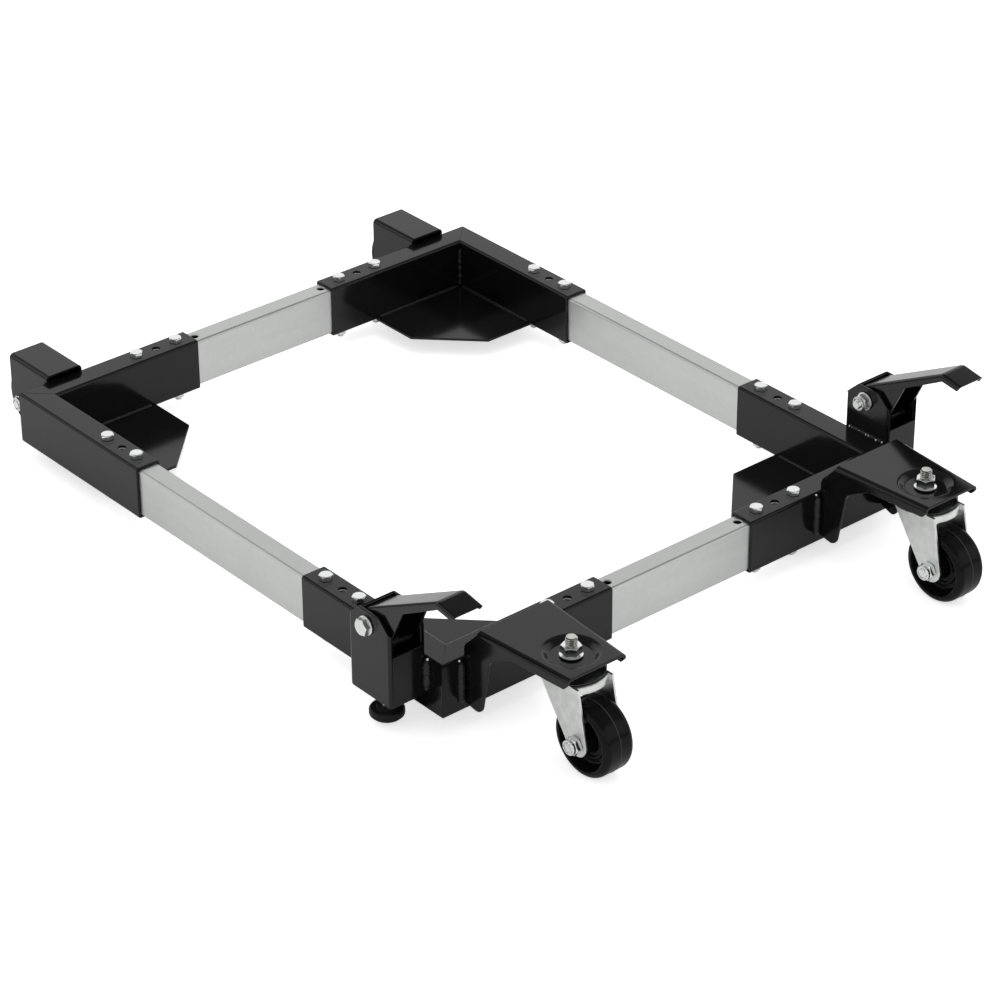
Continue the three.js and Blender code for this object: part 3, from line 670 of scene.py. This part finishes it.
def boltSet(size, grip, turn=0.0):  # head seats on z = 0, nut on z = -grip
    washer = size["washer"]
    headLow, nutHigh = seat + washer, -grip - seat - washer
    nutLow = nutHigh - size["nut"] - size["collar"]
    hexHead = move(hexBlock(size["hex"], headLow, headLow + size["head"]), turnZ(turn))
    nut = move(lockNut(size, nutLow, nutHigh), turnZ(turn * nutTurn))
    shaft = solidRod(size["radius"] * shankShare, nutHigh, headLow + size["head"] / 2, 32)
    screw = threadedRod(size["radius"], nutLow - size["tail"], nutHigh + seat, size["pitch"])
    parts = [nut, shaft, screw]
    if washer:
        parts += [discRing(size["radius"], size["washerRadius"], *ends)
                  for ends in ((seat, headLow), (nutHigh, -grip - seat))]
    return gather(hexHead, *parts)


def makeFrameBolts():
    for name in cornerTurns:
        for number in range(1, 5):
            node = f"bolt_{name}_{number}"
            low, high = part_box(node)
            piece = boltSet(frameBolt, railTop - railBottom, random.uniform(0, 60))
            shift(piece, (low.x + high.x) / 2, (low.y + high.y) / 2, railTop)
            stand(piece, node, "zinc", zincPlated)


makeCorners()
print("corners ready")
makeBars()
makeFrameBolts()
print("bars and bolts ready")


# Caster bracket: a folded channel with a dish for the stem

bracket = dict(thick=0.003, fold=0.005, reach=0.100, back=0.018, overhang=0.036,
               width=0.094, nose=0.073, shoulder=0.014, shoulderRadius=0.012, legDrop=0.050,
               tipDrop=0.056, tipDepth=0.023, tipRadius=0.008, legDepth=0.034, archRise=0.009,
               archRadius=0.011, archReach=0.062, noseDepth=0.012, noseRake=0.005, soft=0.0005,
               backRadius=0.006, footRadius=0.003, archEnd=0.014, noseRadius=0.004)
dish = dict(floor=0.0215, rim=0.0275, depth=0.005, lip=0.0068, hole=0.0064, fillet=0.003,
            underFillet=0.002, steps=80)
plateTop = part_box("caster_bracket_left")[1].z


def bracketOutline():
    reach, thick, depth, tip = (bracket[key] for key in ("reach", "thick", "noseDepth", "noseRadius"))
    face, nose, above = reach - seat, -bracket["overhang"], plateTop + thick
    return roundOff([
        (reach - bracket["back"], above),
        (reach - bracket["back"], plateTop - thick, bracket["backRadius"]),
        (face, railTop + bracket["shoulder"], bracket["shoulderRadius"]),
        (face, railTop - bracket["legDrop"], bracket["footRadius"]),
        (reach - bracket["tipDepth"], railTop - bracket["tipDrop"], bracket["tipRadius"]),
        (reach - bracket["legDepth"], railTop + bracket["archRise"], bracket["archRadius"]),
        (reach - bracket["archReach"], plateTop - depth, bracket["archEnd"]),
        (nose + bracket["noseRake"], plateTop - depth, tip), (nose, plateTop - depth / 2, tip),
        (nose, above)], 8)


def channelSection(half, low, top, thick, fold):  # an upside-down U
    inner = half - thick
    return roundOff([
        (-half, low), (-inner, low), (-inner, top - thick, fold - thick), (inner, top - thick, fold - thick),
        (inner, low), (half, low), (half, top, fold), (-half, top, fold)], 8)


def dishPan():
    floor, rim, thick = dish["floor"], dish["rim"], bracket["thick"]
    bottom, lip, fillet = plateTop - dish["depth"], dish["lip"], dish["fillet"]
    slope = roundOff([
        (dish["hole"], bottom), (floor, bottom, fillet), (rim, plateTop, lip), (rim + lip, plateTop),
        (rim + lip, plateTop - thick), (rim + thick / 2, plateTop - thick, dish["underFillet"]),
        (floor + thick / 2, bottom - thick, fillet), (dish["hole"], bottom - thick)], 6)
    return lathe(slope, dish["steps"])


def makeBracket():
    wide, thick = bracket["width"], bracket["thick"]
    narrowing = (wide - bracket["nose"]) / 2
    low = railTop - bracket["tipDrop"] - thick
    section = channelSection(wide / 2, low, plateTop, thick, bracket["fold"])
    channel = skin([
        [(u, bracket["reach"], v) for u, v in section],
        [(u - copysign(narrowing, u), -bracket["overhang"], v) for u, v in section]])
    carve(channel, prism(bracketOutline(), "X", -wide, wide), how="INTERSECT")
    soften(channel, bracket["soft"], 40)
    rim = dish["rim"] + dish["lip"]
    carve(channel, solidRod(rim, plateTop - 3 * thick, plateTop + thick, dish["steps"]))
    return gather(channel, dishPan())


# Swivel head, stem and nut

head = dict(cap=0.022, rim=0.0335, height=0.0091, rimHeight=0.001, race=0.024, raceHeight=0.0004,
            stem=0.006, standout=0.021, pitch=0.0021, rivet=0.011, rivetHeight=0.0035, rivetFace=0.8,
            capEdge=0.0012, rimEdge=0.0006, sharp=25, flat=0.9)
stemNut = dict(flange=0.0115, flangeHeight=0.004, hex=0.018, height=0.012, turn=dict(left=17, right=41))
fork = dict(crown=0.0365, sheet=0.0025, width=0.045, apron=0.008, topBack=0.024, topFront=0.0345,
            eye=0.0135, bend=0.0030, hole=0.0053, rivetHole=0.0065, boltTurn=20, soft=0.0004)
dishFloor = plateTop - dish["depth"]
dishUnder = dishFloor - bracket["thick"]
headBottom = dishUnder - seat - head["height"]
crownTop = headBottom - head["raceHeight"] - seat


def makeSwivelHead():
    capTop, rimTop = dishUnder - seat, headBottom + head["rimHeight"]
    raceBottom, rivetTop = headBottom - head["raceHeight"], crownTop - fork["sheet"] - seat
    lip = head["rimHeight"] / 3
    cone = roundOff([
        (head["stem"], raceBottom), (head["stem"], capTop), (head["cap"], capTop, head["capEdge"]),
        (head["rim"], rimTop, head["rimEdge"]), (head["rim"], headBottom, lip), (head["race"], headBottom),
        (head["race"], raceBottom)], 5)
    rivetBottom = rivetTop - head["rivetHeight"]
    rivet = lathe([
        (0, capTop), (head["stem"], capTop), (head["stem"], rivetTop), (head["rivet"] - lip, rivetTop),
        (head["rivet"], rivetTop - 2 * lip), (head["rivet"] * head["rivetFace"], rivetBottom),
        (0, rivetBottom)], 48)
    return gather(lathe(cone, 80), rivet)


def makeStem():
    top = dishFloor + head["standout"]
    piece = threadedRod(head["stem"], dishUnder - seat, top, head["pitch"])
    depth = head["pitch"] * thread["depth"] / 2

    # Faces deep in the thread take the dark steel: painted shade in the grooves
    def groove(centre, normal):
        return head["stem"] - hypot(centre.x, centre.y) > depth and abs(normal.z) < head["flat"]
    return mark(piece, groove)


def makeStemNut():
    base = dishFloor + seat
    flange, high = stemNut["flange"], base + stemNut["flangeHeight"]
    lip = stemNut["flangeHeight"] / 4
    ring = lathe([
        (head["stem"], base), (flange - lip, base), (flange, base + lip), (flange, base + 2 * lip),
        (flange - 3 * lip, high), (head["stem"], high + lip)], 64)
    return gather(hexBlock(stemNut["hex"], base + lip, base + stemNut["height"], True), ring)


# Fork: a round crown with an apron and two flat legs

def tangentPoint(point, centre, radius, side):
    away = dist(point, centre)
    angle = atan2(point[1] - centre[1], point[0] - centre[0]) + side * acos(radius / away)
    return centre[0] + radius * cos(angle), centre[1] + radius * sin(angle)


def legOutline(trail, axleHeight, top):
    eye = (-trail, axleHeight)
    front, back = (-fork["topFront"], top), (fork["topBack"], top)
    first, last = tangentPoint(front, eye, fork["eye"], 1), tangentPoint(back, eye, fork["eye"], -1)
    start = atan2(first[1] - eye[1], first[0] - eye[0])
    sweep = (atan2(last[1] - eye[1], last[0] - eye[0]) - start) % (2 * pi)
    arc = [(eye[0] + fork["eye"] * cos(turn), eye[1] + fork["eye"] * sin(turn))
           for turn in evenly(sweep, 18, start)]
    return [front, *arc, back]


def makeFork(trail, axleHeight):
    sheet, crown, bend, middle = (fork[key] for key in ("sheet", "crown", "bend", "rivetHole"))
    half, low = fork["width"] / 2, crownTop - fork["apron"]
    cup = lathe(roundOff([
        (middle, crownTop), (crown, crownTop, bend), (crown, low), (crown - sheet, low),
        (crown - sheet, crownTop - sheet, bend - sheet), (middle, crownTop - sheet)], 6), 80)
    slab = prism(rectangle(-half, low - bend, half, crownTop + sheet), "Y", -2 * crown, 2 * crown)
    carve(cup, slab, how="INTERSECT")
    leg = legOutline(trail, axleHeight, crownTop)
    carve(cup, *[prism(leg, "X", x, x + sheet) for x in (-half, half - sheet)], how="UNION")
    carve(cup, shift(solidRod(fork["hole"], -half * 2, half * 2, 28, "X"), 0, -trail, axleHeight))
    return soften(cup, fork["soft"], 40)


# Wheels

wheel = dict(radius=0.0385, half=0.018, shoulder=0.0070, lip=0.0305, disc=0.006, web=0.0265,
             ring=0.0200, ringRise=0.0018, ringFoot=0.002, ringTop=0.0012, ringEdge=0.0005, hub=0.0125,
             hubHalf=0.0195, hubEdge=0.0012, hubDraft=0.001, hubFillet=0.002, webFillet=0.003, lipDrop=0.0004,
             lipEdge=0.0008, bore=0.0078, seam=0.0003, seamFoot=0.0006, seamTop=0.0002, seamHighlightReach=0.0007)


def makeWheel():
    half, disc, radius = wheel["half"], wheel["disc"], wheel["radius"] - wheel["seam"]
    shoulder, ring, foot, top = (wheel[key] for key in ("shoulder", "ring", "ringFoot", "ringTop"))
    rise, soft = disc + wheel["ringRise"], wheel["ringEdge"]
    edge = [(radius - shoulder + shoulder * sin(turn), half - shoulder + shoulder * cos(turn))
            for turn in evenly(pi / 2, 12)]
    sideFace = roundOff([
        (wheel["bore"], wheel["hubHalf"]), (wheel["hub"], wheel["hubHalf"], wheel["hubEdge"]),
        (wheel["hub"] + wheel["hubDraft"], disc, wheel["hubFillet"]),
        (ring - foot, disc), (ring - top, rise, soft), (ring + top, rise, soft), (ring + foot, disc),
        (wheel["web"], disc, wheel["webFillet"]), (wheel["lip"], half - wheel["lipDrop"], wheel["lipEdge"]),
        edge[0]], 8)
    profile = sideFace[:-1] + edge + [(radius, wheel["seamFoot"]), (wheel["radius"], wheel["seamTop"])]
    piece = lathe(profile + [(r, -h) for r, h in reversed(profile)], 96, "X")

    # The seam ridge is real geometry; its faces take the lighter black, a painted highlight along the parting
    # line
    def paintedSeamHighlight(centre, normal):
        tread = hypot(centre.y, centre.z) > radius - wheel["seam"]
        return tread and abs(centre.x) < wheel["seamHighlightReach"]
    return mark(piece, paintedSeamHighlight)


sleeve = dict(bore=0.0053, outer=0.0075)


def makeSleeve(length):
    (bore, outer), half = sleeve.values(), length / 2
    return lathe([(bore, -half), (outer, -half), (outer, half), (bore, half)], 40, "X")


def axleSet(span, turn):  # head at +X and nut at -X
    piece = shift(boltSet(axleBolt, span, turn), 0, 0, span / 2)
    return move(piece, Matrix.Rotation(pi / 2, 4, "Y"))


def makeWheelSet(kind, side, spin, body, span, sheet, turn):
    axle, inside = jointAt[f"{spin}_spin_{side}"], span - 2 * (sheet + seat)
    stand(shift(makeWheel(), *axle), f"{kind}_wheel_{side}", "moulded", moulded, f"{spin}_{side}")
    stand(shift(makeSleeve(inside), *axle), f"{kind}_sleeve_{side}", "turned", zincPlated, body)
    stand(shift(axleSet(span, turn), *axle), f"{kind}_axle_{side}", "zinc", zincPlated, body)


def makeCaster(side):
    stem, axle, body = jointAt[f"caster_swivel_{side}"], jointAt[f"front_wheel_spin_{side}"], f"swivel_{side}"
    trail = stem.y - axle.y
    stand(shift(makeBracket(), *stem.xy), f"caster_bracket_{side}", "channel", painted)
    stand(shift(makeSwivelHead(), *stem.xy), f"swivel_head_{side}", "race", darkPlated)
    dress(shift(makeStem(), *stem.xy), f"swivel_stem_{side}", stemPlatedWithGrooveShade, degrees=head["sharp"], flat=False)
    nut = move(makeStemNut(), turnZ(stemNut["turn"][side]))
    stand(shift(nut, *stem.xy), f"stem_nut_{side}", "flanged", zincPlated)
    stand(shift(makeFork(trail, axle.z), *stem.xy), f"caster_fork_{side}", "zinc", forkPlated, body)
    makeWheelSet("caster", side, "front_wheel", body, fork["width"], fork["sheet"], fork["boltTurn"])


for side in sides:
    makeCaster(side)
print("casters ready")


# Pedal housing: four folded walls with a hood behind, open above and below

housing = dict(thick=0.003, fold=0.004, chamfer=0.016, chamferDrop=0.015, panel=0.015, heel=0.005,
               crest=0.003, brow=0.002, soft=0.0007)
pivotHole = 0.0053
guide = dict(hole=0.0093, edge=0.0015, soft=0.0004)


def makeHousing(low, high, pivot):
    thick, cut, drop = housing["thick"], housing["chamfer"], housing["chamferDrop"]
    crest, fold = housing["crest"], housing["fold"]
    outer, inner = [rectangle(low.x + inset, low.y + inset, high.x - inset, high.y - inset, fold - inset)
                    for inset in (0, thick)]
    sheet = hollow(outer, inner, lambda u, v: (u, v, low.z), lambda u, v: (u, v, high.z))
    slant = Vector((drop, cut)).normalized()
    ends = [Vector((high.y, high.z - drop)), Vector((high.y - cut, high.z))]
    hood = [end + slant * thick / 2 for end in ends] + [end - slant * thick for end in reversed(ends)]
    carve(sheet, prism([tuple(end) for end in hood], "X", low.x + thick / 2, high.x - thick / 2), how="UNION")
    outline = roundOff([
        (low.y - seat, low.z), (high.y, low.z, housing["heel"]), (high.y, high.z - drop, crest),
        (high.y - cut, high.z, crest), (low.y + cut, high.z, crest),
        (low.y - seat, high.z - drop, housing["brow"])], 6)
    carve(sheet, prism(outline, "X", low.x - thick, high.x + thick), how="INTERSECT")
    mouth = prism(rectangle(low.x + thick, low.y - thick, high.x - thick, low.y + thick + seat), "Z",
                  railTop + housing["panel"], high.z + thick)
    hole = solidRod(pivotHole, low.x - thick, high.x + thick, 32, "X")
    carve(sheet, mouth, shift(hole, 0, pivot.y, pivot.z))
    return soften(sheet, housing["soft"], 40)


# Pedal: a bent strip with two flat flanges under it

pedal = dict(width=0.035, sheet=0.0025, slope=28, top=0.0155, tail=0.0025, length=0.120, toe=0.0265,
             toeSlope=-10, bend=0.009, edge=0.0036, lip=0.0078, toeLip=0.007, web=0.0094, webStart=0.0585,
             webRadius=0.003, rake=0.003, cam=0.015, travel=0.012, stroke=48, lap=0.005, inset=0.00006,
             soft=0.0004)


def heading(angle):
    return Vector((-cos(angle), sin(angle)))


def upright(angle):
    return Vector((sin(angle), cos(angle)))


def spine():  # point, heading and depth of the sides
    slope, toeSlope = radians(pedal["slope"]), radians(pedal["toeSlope"])
    origin = upright(slope) * pedal["top"]
    crest = origin + heading(slope) * pedal["length"]
    cutBack = pedal["bend"] * tan((slope - toeSlope) / 2)
    ends = (-pedal["tail"], pedal["webStart"])
    stations = [(origin + heading(slope) * s, slope, pedal["web"]) for s in ends]
    centre = crest - heading(slope) * cutBack - upright(slope) * pedal["bend"]
    for angle in evenly(toeSlope - slope, 12, slope):
        stations.append((centre + upright(angle) * pedal["bend"], angle, pedal["lip"]))
    stations.append((crest + heading(toeSlope) * pedal["toe"], toeSlope, pedal["toeLip"]))
    return stations


def makeStrip():  # a channel swept along the spine
    half, sheet, edge = pedal["width"] / 2, pedal["sheet"], pedal["edge"]
    rings = []
    stations = spine()
    for number, (point, angle, depth) in enumerate(stations):
        section = roundOff([
            (-half, -depth), (-half, 0, edge), (half, 0, edge), (half, -depth), (half - sheet, -depth),
            (half - sheet, -sheet, edge - sheet), (sheet - half, -sheet, edge - sheet),
            (sheet - half, -depth)], 7)
        rake = pedal["rake"] if number == len(stations) - 1 else 0
        rings.append([(u, *(point + upright(angle) * v + heading(angle) * (rake * v / depth)))
                      for u, v in section])
    return soften(skin(rings), pedal["soft"], 40)


def camEdge():  # sinks evenly as the pedal turns
    stroke = radians(pedal["stroke"])
    rate = pedal["travel"] / stroke
    lifts = [(turn, pedal["cam"] + rate * turn) for turn in evenly(stroke, 12)]
    return [(-lift * sin(turn) - rate * cos(turn), -lift * cos(turn) + rate * sin(turn))
            for turn, lift in lifts]


def onPedal(s, n):
    slope = radians(pedal["slope"])
    return tuple(heading(slope) * s + upright(slope) * n)


def sideOutline():  # from the strip down to the pivot and the cam
    low, high = pedal["top"] - pedal["web"], pedal["top"] - pedal["lap"]
    start, past = pedal["webStart"], pedal["webStart"] + 4 * pedal["webRadius"]
    cam = camEdge()
    turns = [(k / 12 - 1) * pi / 2 for k in range(13)]
    corner = roundOff([onPedal(past, high), onPedal(past, low + 4 * pedal["inset"]),
                       (*onPedal(start, low), pedal["webRadius"]), cam[-1]], 6)[1:-1]
    back = [(pedal["cam"] * cos(turn), pedal["cam"] * sin(turn)) for turn in turns]
    return [onPedal(-pedal["tail"], high), onPedal(past, high), *corner, *reversed(cam), *back]


def makePedal():
    half, sheet, inset = pedal["width"] / 2, pedal["sheet"], pedal["inset"]
    parts = []
    for low, high in ((-half + inset, sheet - half - inset), (half - sheet + inset, half - inset)):
        hole = solidRod(pivotHole, low - sheet, high + sheet, 32, "X")
        parts.append(soften(carve(prism(sideOutline(), "X", low, high), hole), pedal["soft"], 40))
    return gather(makeStrip(), *parts)


# Foot: plunger, stud and pad

foot = dict(plunger=0.004, plungerEdge=0.002, plungerSoft=0.0004, sleeve=0.009, stud=0.005, nut=0.017,
            nutHeight=0.006, pitch=0.0015, bevel=0.003, neck=0.010, brim=0.004, heel=0.001,
            wall=0.0015, shoulder=0.0016, top=0.0006)


def makeGuide(low, high, centre):
    plate = prism(rectangle(low.x, low.y, high.x, high.y, guide["edge"], 4), "Z", low.z, high.z)
    hole = shift(solidRod(guide["hole"], low.z - seat, high.z + seat, 40), centre.x, centre.y)
    return soften(carve(plate, hole), guide["soft"])


def makePlunger(low, high, centre):
    under, bore, outer = high.z - foot["plunger"], foot["stud"] + seat, foot["sleeve"]
    plate = prism(rectangle(low.x, low.y, high.x, high.y, foot["plungerEdge"], 4), "Z", under, high.z)
    soften(plate, foot["plungerSoft"])
    bush = lathe([(bore, low.z), (outer - seat, low.z), (outer, low.z + 2 * seat),
                  (outer, under + seat), (bore, under + seat)], 48)
    return gather(plate, shift(bush, centre.x, centre.y))


def makeStud(low, high, nutTop, centre):
    rod = threadedRod(foot["stud"], low.z, high.z, foot["pitch"])
    nut = hexBlock(foot["nut"], nutTop - foot["nutHeight"], nutTop, True)
    return shift(gather(rod, nut), centre.x, centre.y)


def makePad(low, high, centre):
    outer, bevel, brim = (high.x - low.x) / 2, foot["bevel"], foot["brim"]
    profile = roundOff([
        (0, low.z), (outer - bevel, low.z, foot["heel"]), (outer, low.z + bevel, foot["wall"]),
        (outer, high.z - brim, foot["shoulder"]), (outer - bevel / 2, high.z - brim / 2, foot["heel"]),
        (foot["neck"], high.z - brim / 2, foot["top"]), (foot["neck"], high.z, foot["top"]),
        (0, high.z)], 5)
    return shift(lathe(profile, 64), centre.x, centre.y)


def makeLever(side):
    pivot, body = jointAt[f"pedal_press_{side}"], f"foot_{side}"
    low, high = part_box(f"lever_housing_{side}")
    stand(makeHousing(low, high, pivot), f"lever_housing_{side}", "sheet", painted)
    stand(shift(makePedal(), *pivot), f"pedal_{side}", "pressed", painted, f"pedal_{side}")
    bolt = boltSet(pivotBolt, high.x - low.x, pivotBolt["turn"])
    shift(move(bolt, Matrix.Rotation(-pi / 2, 4, "Y")), low.x, pivot.y, pivot.z)
    if side == "right":
        move(shift(bolt, -low.x - high.x), mirrorX)
    stand(bolt, f"pivot_bolt_{side}", "zinc", forkPlated)
    pad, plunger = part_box(f"foot_pad_{side}"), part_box(f"plunger_{side}")
    centre = (pad[0] + pad[1]) / 2
    stand(makeGuide(*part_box(f"guide_plate_{side}"), centre), f"guide_plate_{side}", "sheet", painted)
    stand(makePlunger(*plunger, centre), f"plunger_{side}", "carrier", darkPlated, body)
    stud = makeStud(*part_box(f"foot_stud_{side}"), plunger[0].z - seat, centre)
    stand(stud, f"foot_stud_{side}", "threaded", zincPlated, body)
    stand(makePad(*pad, centre), f"foot_pad_{side}", "moulded", rubber, body)


for side in sides:
    makeLever(side)
print("pedals ready")


# Fixed rear wheels

rearBox = dict(thick=0.003, fold=0.005, heel=0.009, foot=0.002, soft=0.0005, hole=0.0053, boltTurn=8)


def makeRearBox(low, high, axle):
    thick, middle = rearBox["thick"], (high.x + low.x) / 2
    section = channelSection((high.x - low.x) / 2, low.z, high.z, thick, rearBox["fold"])
    channel = skin([[(middle + u, y, v) for u, v in section] for y in (high.y, low.y)])
    near, far = low.y - seat, high.y + seat
    side = roundOff([
        (rearFace + seat, low.z, rearBox["foot"]), (rearFace + seat, railTop + seat), (near, railTop + seat),
        (near, high.z + thick), (far, high.z + thick), (far, low.z, rearBox["heel"])], 8)
    carve(channel, prism(side, "X", low.x - thick, high.x + thick), how="INTERSECT")
    hole = solidRod(rearBox["hole"], low.x - thick, high.x + thick, 28, "X")
    carve(channel, shift(hole, 0, axle.y, axle.z))
    return soften(channel, rearBox["soft"], 40)


def makeRear(side):
    low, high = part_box(f"rear_wheel_box_{side}")
    channel = makeRearBox(low, high, jointAt[f"back_wheel_spin_{side}"])
    stand(channel, f"rear_wheel_box_{side}", "channel", painted)
    makeWheelSet("rear", side, "back_wheel", "frame", high.x - low.x, rearBox["thick"], rearBox["boltTurn"])


for side in sides:
    makeRear(side)
print("rear wheels ready")


# Welds that hold the brackets and housings

welds = dict(bracketWidth=0.0078, frontWidth=0.0088, housingWidth=0.0064, rearWidth=0.0048,
             gapTop=0.0045, bottom=0.050, frontBottom=0.033, housingBottom=0.043, out=0.0015,
             drop=0.0011, specks=15, bracketSink=0.45, rearSink=0.25, footShare=1.2, topShare=0.7)
spatterAt = dict(left=(-0.75, 0.35), right=(0.8, 0.2), front=(0.2, 0.45), jump=2.3, slip=1.7)
beadLumps = dict(bracket=0.7, front=0.9, foot=0.6, back=1.2, top=1.6)
weldTop = railTop - welds["gapTop"]


def makeBracketWelds(side):
    low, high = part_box(f"caster_bracket_{side}")
    width, bottom = welds["bracketWidth"], railTop - welds["bottom"]
    sink = width * welds["bracketSink"]
    dressWelds(f"bracket_welds_{side}", *[
        weldBead([(x, frontFace, weldTop), (x, frontFace, bottom)], width, 40 + number + sides[side],
                 beadLumps["bracket"]) for number, x in enumerate((low.x - sink, high.x + sink))])
    places = [(x + width * out, frontFace - welds["drop"] / 2, weldTop + width * up)
              for x, (out, up) in ((low.x, spatterAt["left"]), (high.x, spatterAt["right"]))]
    # The drops' bright bare finish is a painted glint at the bead tops
    dress(spatter(places, welds["drop"], 3), f"bracket_glint_spatter_{side}", paintedGlint)


def makeHousingWelds(side):
    low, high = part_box(f"lever_housing_{side}")
    way = sides[side]
    face, width = way * abs(leftFace), welds["housingWidth"]
    wide, bottom = welds["frontWidth"], railTop - welds["frontBottom"]
    x, front = face + way * welds["out"], low.y - welds["out"]
    rear, rearBottom = high.y + width * welds["rearSink"], railTop - welds["housingBottom"]
    dressWelds(
        f"housing_welds_{side}",
        weldBead([(x, front, weldTop + wide / 4), (x, front, bottom)], wide, 60 + way, beadLumps["front"]),
        weldBead([(x, front, bottom + wide / 3), (x, front, bottom - wide / 4)],
                 wide * welds["footShare"], 71, beadLumps["foot"]),
        weldBead([(face, rear, weldTop), (face, rear, rearBottom)], width, 63 + way, beadLumps["back"]),
        weldBead([(face, low.y + width, railTop), (face, high.y - width, railTop)],
                 width * welds["topShare"], 66 + way, beadLumps["top"]))
    drop, count = welds["drop"], welds["specks"]
    step = (high.y - low.y - 2 * width) / count
    places = [(face - way * drop * (1 + 2 * grain(k * spatterAt["jump"], 7, 0)),
               low.y + width + step * (k + grain(k * spatterAt["slip"], 3, 0)),
               railTop + drop / 2) for k in range(count)]
    out, up = spatterAt["front"]
    places.append((x, front - wide * out, weldTop + wide * up))
    # The bright bare finish on these drops paints glints along the weld
    dress(spatter(places, drop, 5), f"housing_glint_spatter_{side}", paintedGlint)


def makeRearWelds(side):
    low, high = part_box(f"rear_wheel_box_{side}")
    size = welds["rearWidth"]
    dressWelds(f"rear_box_welds_{side}", *[
        weldBead([(x, rearFace, weldTop), (x, rearFace, low.z + size)], size, 80 + number + sides[side])
        for number, x in enumerate((low.x, high.x))])


for side in sides:
    makeBracketWelds(side)
    makeHousingWelds(side)
    makeRearWelds(side)
print("welds ready")


# Studio: floor, light and camera

studio = dict(floorSize=14.0, floorDepth=0.01, floorColour=(0.86, 0.86, 0.86), floorGlow=0.63,
              mirroredGlow=0.06, ambient=0.86, skyWhite=1.0, skyDark=0.24, whiteUpTo=0.57,
              darkFrom=0.69, horizonDark=0.22, horizonUpTo=0.07, horizonWhite=0.20, ceilingPower=11,
              ceilingSize=1.7, ceilingPlace=(0.25, 0.1, 2.4))


def rays(graph):  # camera rays, then glossy and transmission rays
    seen, glossy, through = [graph.add("LightPath", output=name) for name in
                             ("Is Camera Ray", "Is Glossy Ray", "Is Transmission Ray")]
    mirrored = graph.add("Math", dict(operation="ADD", use_clamp=True), {0: glossy, 1: through})
    return seen, mirrored


def makeFloor():
    half = studio["floorSize"] / 2
    piece = prism(rectangle(-half, -half, half, half), "Z", -studio["floorDepth"], 0)
    piece.name = "studio_floor"
    material, graph = newMaterial("studioFloor")
    seen, mirrored = rays(graph)
    cover = graph.add("BsdfDiffuse", None, {"Color": (*studio["floorColour"], 1)})
    strength = seen * studio["floorGlow"] + mirrored * studio["mirroredGlow"]
    glow = graph.add("Emission", None, {"Strength": strength})
    both = graph.add("AddShader", None, {0: cover, 1: glow})
    graph.add("OutputMaterial", None, {"Surface": both})
    piece.data.materials.append(material)


def makeWorld():  # mirrored: dark horizon, white sweep, dark ceiling
    world = bpy.data.worlds.new("studioWorld")
    world.use_nodes = True
    scene.world = world
    graph = Graph(world.node_tree)
    seen, mirrored = rays(graph)
    where = graph.add("TexCoord", output="Generated")
    height = graph.add("SeparateXYZ", None, {"Vector": where}, "Z")
    drop, rise = [graph.add("MapRange", dict(interpolation_type="SMOOTHSTEP"), {
        "Value": height, "From Min": studio[start], "From Max": studio[end],
        "To Min": studio[below], "To Max": studio[above]}) for start, end, below, above in (
            ("whiteUpTo", "darkFrom", "skyWhite", "skyDark"),
            ("horizonUpTo", "horizonWhite", "horizonDark", "skyWhite"))]
    strength = seen + mirrored * drop * rise + (1 - seen - mirrored) * studio["ambient"]
    sky = graph.add("Background", None, {"Color": (1, 1, 1, 1), "Strength": strength})
    graph.add("OutputWorld", None, {"Surface": sky})


def makeCeilingLamp():
    lamp = bpy.data.lights.new("ceilingLamp", "AREA")
    lamp.energy = studio["ceilingPower"]
    lamp.size = studio["ceilingSize"]
    holder = addObject("ceilingLamp", lamp)
    holder.location = studio["ceilingPlace"]
    holder.rotation_euler = (-Vector(studio["ceilingPlace"])).to_track_quat("-Z", "Y").to_euler()
    holder.visible_glossy = False


view = dict(place=(-2.10894, -2.51806, 1.93508), yaw=0.7032, pitch=0.5313, roll=-0.0055,
            lens=129.99, sensor=36.0)


def makeCamera():
    camera = bpy.data.cameras.new("photoCamera")
    camera.lens = view["lens"]
    camera.sensor_width = view["sensor"]
    holder = addObject("photoCamera", camera)
    aim = (Matrix.Rotation(-view["yaw"], 4, "Z") @ Matrix.Rotation(pi / 2 - view["pitch"], 4, "X")
           @ Matrix.Rotation(view["roll"], 4, "Z"))
    holder.matrix_world = Matrix.Translation(view["place"]) @ aim
    scene.camera = holder


makeFloor()
makeWorld()
makeCeilingLamp()
makeCamera()
scene.view_settings.view_transform = "Standard"
print("studio ready")

bpy.context.view_layer.update()
